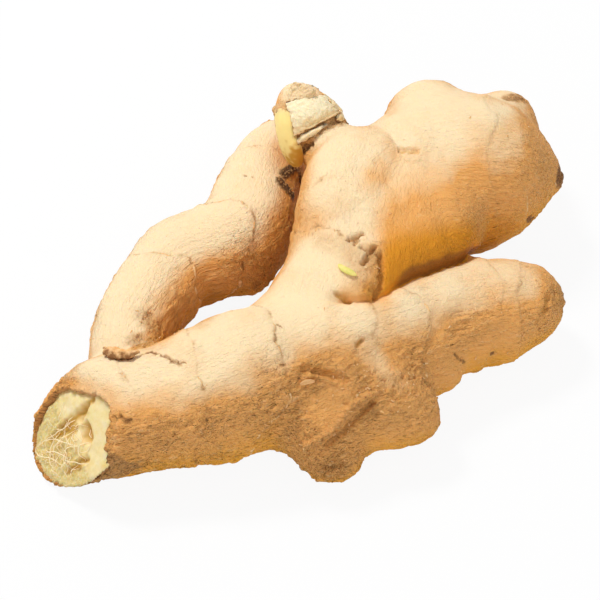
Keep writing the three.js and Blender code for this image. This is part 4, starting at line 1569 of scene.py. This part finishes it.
def skin_look(colours):
    """Dry papery skin: cream crowns and tan sides, partly painted light; painted shade in the creases."""
    look = Look("ginger_skin")
    here, flow = look.places(), look.places("flow")
    crevice, wrinkled, rough, fold, brown, apart, torn = (
        look.mask(name) for name in ("crevice", "wrinkled", "rough", "fold", "brown", "apart", "torn"))
    cloud, mottle = look.grain(here, 14.0, 3.0), look.grain(here, 4.5, 4.0, 0.6)
    streak, thread = look.grain(flow, 1.5, 3.0, 0.6, 0.4), look.grain(flow, 0.62, 2.0, 0.6, 0.8)
    crease = (look.grain(flow, 1.25, 2.0, 0.6, 0.7) - 0.5).size() * 5.0
    speck = (1 - look.cells(here, 1.5)).step(0.78, 0.95) * look.grain(here, 7.0, 2.0).step(0.54, 0.7)
    corky = rough * (0.3 + look.grain(here, 1.1, 4.0, 0.7).step(0.35, 0.7) * 0.6)
    line = brown.step(0.3, 0.9) * (0.4 + look.grain(here, 0.9, 3.0, 0.7).step(0.35, 0.6) * 0.6)
    shred = torn * (look.grain(here, 0.8, 4.0, 0.7) - 0.5).step(0.0, 0.1)
    dirt = look.mask("soil") * look.grain(here, 1.3, 4.0, 0.7).step(0.12, 0.34)
    colour = look.painted(
        colours.crown,
        # partly painted light and shade: crowns towards the light stay cream, sides turned from it go tan
        ((look.mask("tanned") + (cloud - 0.5) * 0.35 + (mottle - 0.5) * 0.35).clamped(), colours.side),
        # painted shade on skin that faces down, away from the light
        (look.mask("under"), colours.under),
        (((streak - 0.5) * 1.7).clamped() * (wrinkled * 0.12 + apart * 0.04), colours.fold),
        # painted shade in the valleys of the wrinkles and of the bumped creases
        ((0.1 - fold).step(0.0, 0.7) * wrinkled * 0.2, colours.fold),
        ((0.45 - crease).step(0.0, 0.45) * (wrinkled * 0.1 + apart * 0.015), colours.fold),
        # painted light on the ridges of the wrinkles
        ((fold - 0.25).step(0.0, 0.7) * wrinkled * 0.25, colours.thread),
        ((thread - 0.56).step(0.0, 0.16) * (0.2 - 0.1 * rough) * apart, colours.thread),
        (speck * 0.45, colours.speck),
        (corky * 0.5, colours.cork),
        (torn * (0.3 + 0.6 * mottle), colours.cork),
        # painted shade: orange-brown, then dark brown, the deeper the skin lies in crevices
        (crevice.step(0.22, 0.8), colours.crease),
        (crevice.step(0.7, 1.0) * 0.8, colours.dark),
        # golden in dents, partly painted shade in the hollows
        (look.mask("gold") * (0.6 + 0.5 * mottle), colours.golden),
        (brown.step(0.03, 0.5) * 0.45, colours.rust),
        # ring scars and brown marks, among them painted shadow in a few hollows
        (line.clamped(), colours.scar),
        (torn * 0.35, colours.rust),
        (shred * 0.6, colours.scar),
        ((look.mask("rim") * 0.8).clamped(), colours.rim),
        (dirt.clamped(), colours.soil),
    )
    creased, papery = look.grain(flow, 0.85, 3.0, 0.55, 0.6), look.grain(here, 0.55, 3.0, 0.65)
    normal = look.relief(crease * (apart * 0.06 + wrinkled * 0.5), 1.0)
    normal = look.relief(creased * (apart * 0.17 + wrinkled * 0.7), 1.7, normal)
    normal = look.relief(papery, 0.3, normal)
    normal = look.relief(look.grain(here, 1.0, 4.0, 0.75) * rough.highest(torn * 0.7), 0.9, normal)
    look.flesh_through(0.14, 2.5)
    return look.wear(colour, 0.56 + 0.16 * mottle + 0.15 * rough, normal)


def paper_look(colours):
    """Thin dried edges and flakes of skin, brown where they are torn."""
    look = Look("dry_paper")
    here = look.places()
    edge, cloud = look.mask("edge"), look.grain(here, 1.2, 3.0, 0.6)
    colour = look.painted(
        colours.crown,
        ((cloud * 1.5 - 0.1).clamped(), colours.side),
        ((edge * 0.9 + (cloud - 0.5) * 0.8).step(0.25, 0.95) * 0.8, colours.cork),
        ((edge * (cloud + 0.35)).step(0.55, 0.95), colours.scar),
    )
    look.flesh_through(0.1, 0.8)
    return look.wear(colour, 0.65 + 0.1 * cloud, look.relief(look.grain(here, 0.4, 3.0, 0.6), 0.15))


def bud_look(colours):
    """Bud scales: papery cream or smooth yellow, with torn reddish brown edges."""
    look = Look("bud_scales")
    here = look.places()
    edge, yellow, cloud = look.mask("edge"), look.mask("yellow"), look.grain(here, 1.0, 4.0, 0.65)
    torn = (edge * 1.1 + (cloud - 0.5) * 1.4 - yellow * 0.35).step(0.5, 1.0)
    colour = look.painted(
        colours.leaf_brown,
        (look.mask("cream"), colours.bud_cream),
        (yellow, colours.bud_yellow),
        # golden last rows, partly painted shade
        (look.mask("gold"), colours.bud_gold),
        ((cloud - 0.45).step(0.0, 0.25) * 0.3 * (1 - yellow), colours.side),
        (torn * 0.75, colours.leaf_brown),
        ((edge * (cloud + 0.4) - yellow * 0.2).step(0.68, 0.95), colours.scar),
    )
    normal = look.relief(look.grain(here, 0.7, 4.0, 0.6) * (1 - yellow * 0.8), 0.45)
    look.flesh_through(0.15, 2.0)
    return look.wear(colour, 0.5 + 0.2 * cloud, normal)


def flesh_look(colours):
    """Moist broken flesh: pale cream above, yellow and stringy below, golden in the clefts."""
    look = Look("snapped_flesh")
    here, fibrous = look.places(), look.mask("fibrous")
    cloud, fine = look.grain(here, 3.0, 3.0, 0.6), look.grain(here, 0.7, 4.0, 0.7)
    string = look.grain(look.places(scale=(1.6, 1.6, 0.45)), 0.6, 3.0, 0.6, 0.5)
    colour = look.painted(
        colours.flesh,
        ((cloud * 1.4 - 0.35).clamped(), colours.flesh_yellow),
        (fibrous * (0.35 + (string - 0.4).step(0.0, 0.3) * 0.5), colours.flesh_yellow),
        (fibrous * (fine - 0.5).step(0.0, 0.15) * 0.6, colours.fibre),
        (look.mask("cleft") * 0.9, colours.flesh_gold),
        (look.mask("rim") * 0.4, colours.flesh_gold),
    )
    look.flesh_through(0.3, 2.5)
    return look.wear(colour, 0.42 + 0.2 * fine, look.relief(string * fibrous, 0.5, look.relief(fine, 0.14)))


def plain_grain_look(name, first, second, size, depth, roughness):
    """Two colours in fine clouds, with a matching relief."""
    look = Look(name)
    cloud = look.grain(look.places(), size, 3.0, 0.65)
    colour = look.painted(first, ((cloud * 1.6 - 0.3).clamped(), second))
    look.flesh_through(0.1, 1.0)
    return look.wear(colour, roughness + 0.15 * cloud, look.relief(cloud, depth))


# ---- Settings -------------------------------------------------------------------------------------
def length_setting(name, description, default, low, high):
    """A setting for a length in metres, given in millimetres."""
    return FloatProperty(name=name, description=description, default=default * MM, min=low * MM,
                         max=high * MM, unit="LENGTH", subtype="DISTANCE", precision=5)


def colour_setting(name, description, default):
    """A setting for a colour."""
    return FloatVectorProperty(name=name, description=description, default=default, subtype="COLOR",
                               size=3, min=0.0, max=1.0)


def count_setting(name, description, default, low=0):
    """A setting for how many small things there are."""
    return IntProperty(name=name, description=description, default=default, min=low)


class GingerSizes(bpy.types.PropertyGroup):
    """Sizes of the hand's surface detail."""
    grain: length_setting("Grain", "Size of the skin mesh's plainest faces", 1.6, 0.8, 3.0)
    wrinkle_depth: length_setting("Wrinkle depth", "How deep the skin is wrinkled on the sides",
                                  0.75, 0.0, 1.5)
    edge_lift: length_setting("Edge lift", "How far torn ring edges curl up", 0.3, 0.0, 2.0)
    flakes: count_setting("Flakes", "Number of loose flakes of skin", 170)
    fibres: count_setting("Fibres", "Number of short fibres tried on the snapped end", 60)
    crumbs: count_setting("Crumbs", "Number of crumbs of soil", 90, 1)


class GingerColours(bpy.types.PropertyGroup):
    """Colours of the hand's skin and flesh."""
    # cream crowns, partly painted light on the skin that faces the light's way
    crown: colour_setting("Crown", "Dry skin on top of the fingers", (0.93, 0.72, 0.44))
    # tan sides, partly painted shade on the skin turned from the light
    side: colour_setting("Side", "Wrinkled skin on the sides", (0.86, 0.41, 0.115))
    # painted shade on skin that faces down
    under: colour_setting("Under", "Skin that faces the table", (0.92, 0.40, 0.02))
    # painted shade in the valleys of the wrinkles, and darker streaks
    fold: colour_setting("Fold", "Bottoms of the wrinkles", (0.60, 0.27, 0.08))
    # pale threads, and painted light on the ridges of the wrinkles
    thread: colour_setting("Thread", "Pale threads in the skin", (0.93, 0.72, 0.44))
    speck: colour_setting("Speck", "Small brown specks", (0.35, 0.15, 0.05))
    cork: colour_setting("Cork", "Corky, torn skin", (0.66, 0.36, 0.14))
    # painted shade in the creases between fingers
    crease: colour_setting("Crease", "Skin in the creases between fingers", (0.74, 0.28, 0.008))
    # painted shadow at the bottoms of the creases
    dark: colour_setting("Dark", "Bottoms of the creases", (0.20, 0.06, 0.01))
    # golden flesh in dents, partly painted shade in the hollows
    golden: colour_setting("Golden", "Bruised golden flesh in dents", (0.62, 0.32, 0.05))
    rim: colour_setting("Rim", "Cut edge of the skin", (0.50, 0.24, 0.09))
    # browned skin round scars, also round a few painted shadows
    rust: colour_setting("Rust", "Browned skin round scars", (0.52, 0.24, 0.07))
    # ring scars and old wounds, and painted shadow in a few dark hollows
    scar: colour_setting("Scar", "Ring scars and old wounds", (0.26, 0.11, 0.035))
    soil: colour_setting("Soil", "Dried soil", (0.15, 0.075, 0.028))
    bud_cream: colour_setting("Bud cream", "Papery scales of the bud", (1.0, 0.84, 0.55))
    bud_yellow: colour_setting("Bud yellow", "Smooth fresh scale of the bud", (0.96, 0.72, 0.27))
    # last rows of the bud's scales, partly painted shade towards their lower edges
    bud_gold: colour_setting("Bud gold", "Last rows of the bud's scales", (0.62, 0.32, 0.04))
    leaf_brown: colour_setting("Leaf brown", "Dried tops of the bud's scales", (0.68, 0.37, 0.14))
    flesh: colour_setting("Flesh", "Freshly broken flesh", (0.98, 0.75, 0.45))
    flesh_yellow: colour_setting("Yellow flesh", "Drier stringy flesh", (0.88, 0.58, 0.15))
    flesh_gold: colour_setting("Golden flesh", "Flesh deep in the clefts", (0.55, 0.27, 0.02))
    fibre: colour_setting("Fibre", "Pale fibres in the flesh", (0.99, 0.88, 0.60))
    sprout: colour_setting("Sprout", "Fresh green shoot", (0.58, 0.62, 0.10))


class GingerLight(bpy.types.PropertyGroup):
    """Light and camera of the table scene."""
    key: FloatProperty(name="Key light", description="Strength of the lamp above and behind, on the left",
                       default=8.0, min=0.0, unit="POWER")
    fill: FloatProperty(name="Fill light", description="Strength of the wide lamp in front", default=5.1,
                        min=0.0, unit="POWER")
    sky: FloatProperty(name="Sky", description="Strength of the even light from all around", default=0.5,
                       min=0.0)
    camera_lift: FloatProperty(name="Camera elevation", description="How steeply the camera looks down",
                               default=math.radians(50.0), min=0.0, max=math.radians(90.0),
                               unit="ROTATION", subtype="ANGLE")


# ---- Operators ------------------------------------------------------------------------------------
class GINGER_OT_skin(bpy.types.Operator):
    """Model the hand's skin with its lumps, ring scars, wrinkles, dents and torn places"""
    bl_idname = "ginger.skin"
    bl_label = "Skin"

    def execute(self, context):
        scene = context.scene
        mesh = build_skin(scene.ginger_sizes)
        piece = finish_piece("ginger_skin", mesh, skin_look(scene.ginger_colours))
        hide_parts(NODE)
        return {"FINISHED"}


class GINGER_OT_ring_edges(bpy.types.Operator):
    """Lay the ragged edges of dried scales along the ring scars"""
    bl_idname = "ginger.ring_edges"
    bl_label = "Ring edges"

    def execute(self, context):
        scene, ground = context.scene, Ground()
        lift = scene.ginger_sizes.edge_lift / MM
        mesh = joined("ring_edges", [ring_edge(ring, ground, lift) for ring in RING_SCARS])
        finish_piece("ring_edges", mesh, paper_look(scene.ginger_colours))
        return {"FINISHED"}


class GINGER_OT_flakes(bpy.types.Operator):
    """Add loose flakes of skin, the folded lip and the raised sliver"""
    bl_idname = "ginger.flakes"
    bl_label = "Skin flakes"

    def execute(self, context):
        scene = context.scene
        meshes = [*scattered_flakes(scene.ginger_sizes.flakes), build_lip(), build_sliver()]
        finish_piece("skin_flakes", joined("skin_flakes", meshes), paper_look(scene.ginger_colours))
        return {"FINISHED"}


class GINGER_OT_bud(bpy.types.Operator):
    """Wrap the bud in its papery scales"""
    bl_idname = "ginger.bud"
    bl_label = "Bud scales"

    def execute(self, context):
        mesh = joined("bud_scales", [bud_scale(i, *row) for i, row in enumerate(BUD_SCALES)])
        finish_piece("bud_scales", mesh, bud_look(context.scene.ginger_colours))
        return {"FINISHED"}


class GINGER_OT_snapped_end(bpy.types.Operator):
    """Model the broken flesh of the snapped end and the fibres that hang from it"""
    bl_idname = "ginger.snapped_end"
    bl_label = "Snapped end"

    def execute(self, context):
        colours = context.scene.ginger_colours
        finish_piece("snapped_flesh", build_flesh(), flesh_look(colours))
        fibre = plain_grain_look("flesh_fibres", colours.fibre, colours.flesh, 1.0, 0.05, 0.45)
        finish_piece("flesh_fibres", build_fibres(context.scene.ginger_sizes.fibres), fibre)
        return {"FINISHED"}


class GINGER_OT_sprout(bpy.types.Operator):
    """Add the green shoot and the crumbs of soil"""
    bl_idname = "ginger.sprout"
    bl_label = "Sprout and soil"

    def execute(self, context):
        colours = context.scene.ginger_colours
        green = plain_grain_look("green_sprout", colours.sprout, colours.bud_yellow, 1.4, 0.08, 0.4)
        finish_piece("green_sprout", build_sprout(), green)
        crumbs = joined("soil_crumbs", build_crumbs(context.scene.ginger_sizes.crumbs))
        soil = plain_grain_look("soil_crumbs", colours.soil, colours.cork, 0.6, 0.2, 0.8)
        finish_piece("soil_crumbs", crumbs, soil)
        return {"FINISHED"}


class GINGER_OT_stage(bpy.types.Operator):
    """Set up the white table, the soft lamps, the even sky and the camera"""
    bl_idname = "ginger.stage"
    bl_label = "Table, lamps and camera"

    def execute(self, context):
        scene, light = context.scene, context.scene.ginger_light
        build_table()
        build_lamps(light)
        build_sky(scene, light.sky)
        build_camera(scene, light.camera_lift)
        scene.view_settings.view_transform = "Standard"
        return {"FINISHED"}


PURE_WHITE = (1.0, 1.0, 1.0)
TABLE_HALF = 6.0        # half the width of the table top (m)
TABLE_GREY = 0.82       # how much light it throws back
TABLE_WHITENESS = 0.92  # share of pure white in what the camera sees of the table


def build_table():
    """A wide white table top: pale under the lamps, white to the camera but for a soft shadow."""
    work = bmesh.new()
    bmesh.ops.create_grid(work, x_segments=1, y_segments=1, size=TABLE_HALF)
    table = in_scene("table", mesh_of(work, "table"))
    look = Look("white_table")
    look.shader.inputs["Base Color"].default_value = (TABLE_GREY, TABLE_GREY, TABLE_GREY, 1.0)
    look.shader.inputs["Roughness"].default_value = 0.9
    look.shader.inputs["Specular IOR Level"].default_value = 0.1
    white = look.node("ShaderNodeEmission", None, {"Color": PURE_WHITE, "Strength": 1.0})
    mix = look.node("ShaderNodeMixShader", None, {
        0: look.seen_directly() * TABLE_WHITENESS, 1: look.shader.outputs[0], 2: white.outputs[0],
    })
    look.feed(look.output.inputs["Surface"], mix.outputs[0])
    table.data.materials.append(look.material)


def aim(thing, place, target):
    """Puts a lamp or camera in its place, looking at the target."""
    thing.location = place
    thing.rotation_mode = "QUATERNION"
    thing.rotation_quaternion = (Vector(target) - Vector(place)).to_track_quat("-Z", "Y")


# The key softbox above and behind on the left, and the wide fill in front: size and place (m).
LAMPS = {"key": (0.22, (-0.42, 0.36, 0.95)), "fill": (1.2, (0.15, -1.2, 0.75))}
LAMP_TARGET = (0.0, 0.0, 0.02)


def build_lamps(light):
    """The two softboxes, aimed at the hand."""
    for name, (size, place) in LAMPS.items():
        lamp = bpy.data.lights.new(f"{name}_softbox", "AREA")
        lamp.energy, lamp.shape, lamp.size = getattr(light, name), "SQUARE", size
        aim(in_scene(lamp.name, lamp), place, LAMP_TARGET)


def build_sky(scene, strength):
    """Even light from all around that looks pure white itself."""
    world = bpy.data.worlds.new("studio")
    scene.world = world
    world.use_nodes = True
    world.node_tree.nodes.clear()
    sky = Nodes(world.node_tree)
    around, white = (
        sky.node("ShaderNodeBackground", None, {"Color": PURE_WHITE, "Strength": power})
        for power in (strength, 1.0)
    )
    mix = sky.node("ShaderNodeMixShader", None, {
        0: sky.seen_directly(), 1: around.outputs[0], 2: white.outputs[0],
    })
    sky.node("ShaderNodeOutputWorld", None, {"Surface": mix.outputs[0]})


CAMERA_TARGET = Vector((-0.003, -0.010, 0.020))
CAMERA_DISTANCE = 0.470
CAMERA_LENS, CAMERA_SENSOR = 100.0, 36.0        # focal length and width of the picture plane (mm)
CAMERA_CLIP = (0.01, 20.0)                      # nearest and farthest things that it sees (m)


def build_camera(scene, lift):
    """A long lens looking down at the hand from the front."""
    data = bpy.data.cameras.new("camera")
    data.lens, data.sensor_width = CAMERA_LENS, CAMERA_SENSOR
    data.clip_start, data.clip_end = CAMERA_CLIP
    scene.camera = in_scene("camera", data)
    back = Vector((0.0, -math.cos(lift), math.sin(lift)))
    aim(scene.camera, CAMERA_TARGET + back * CAMERA_DISTANCE, CAMERA_TARGET)


class GINGER_PT_panel(bpy.types.Panel):
    """Ginger hand: its settings and the steps that build it"""
    bl_idname = "GINGER_PT_panel"
    bl_label = "Ginger hand"
    bl_space_type = "VIEW_3D"
    bl_region_type = "UI"
    bl_category = "Ginger"

    def draw(self, context):
        for group in (context.scene.ginger_sizes, context.scene.ginger_colours, context.scene.ginger_light):
            box = self.layout.box()
            for key in group.__annotations__:
                box.prop(group, key)
        for step in STEPS:
            self.layout.operator(step.bl_idname)


STEPS = (GINGER_OT_skin, GINGER_OT_ring_edges, GINGER_OT_flakes, GINGER_OT_bud, GINGER_OT_snapped_end,
         GINGER_OT_sprout, GINGER_OT_stage)
GROUPS = {"ginger_sizes": GingerSizes, "ginger_colours": GingerColours, "ginger_light": GingerLight}


def register():
    for group in GROUPS.values():
        bpy.utils.register_class(group)
    for name, group in GROUPS.items():
        setattr(bpy.types.Scene, name, PointerProperty(type=group))
    for step in (*STEPS, GINGER_PT_panel):
        bpy.utils.register_class(step)


def unregister():
    for step in (GINGER_PT_panel, *reversed(STEPS)):
        bpy.utils.unregister_class(step)
    for name in GROUPS:
        delattr(bpy.types.Scene, name)
    for group in reversed(list(GROUPS.values())):
        bpy.utils.unregister_class(group)


def main():
    register()
    for step in STEPS:
        family, action = step.bl_idname.split(".")
        getattr(getattr(bpy.ops, family), action)()


if __name__ == "__main__":
    main()
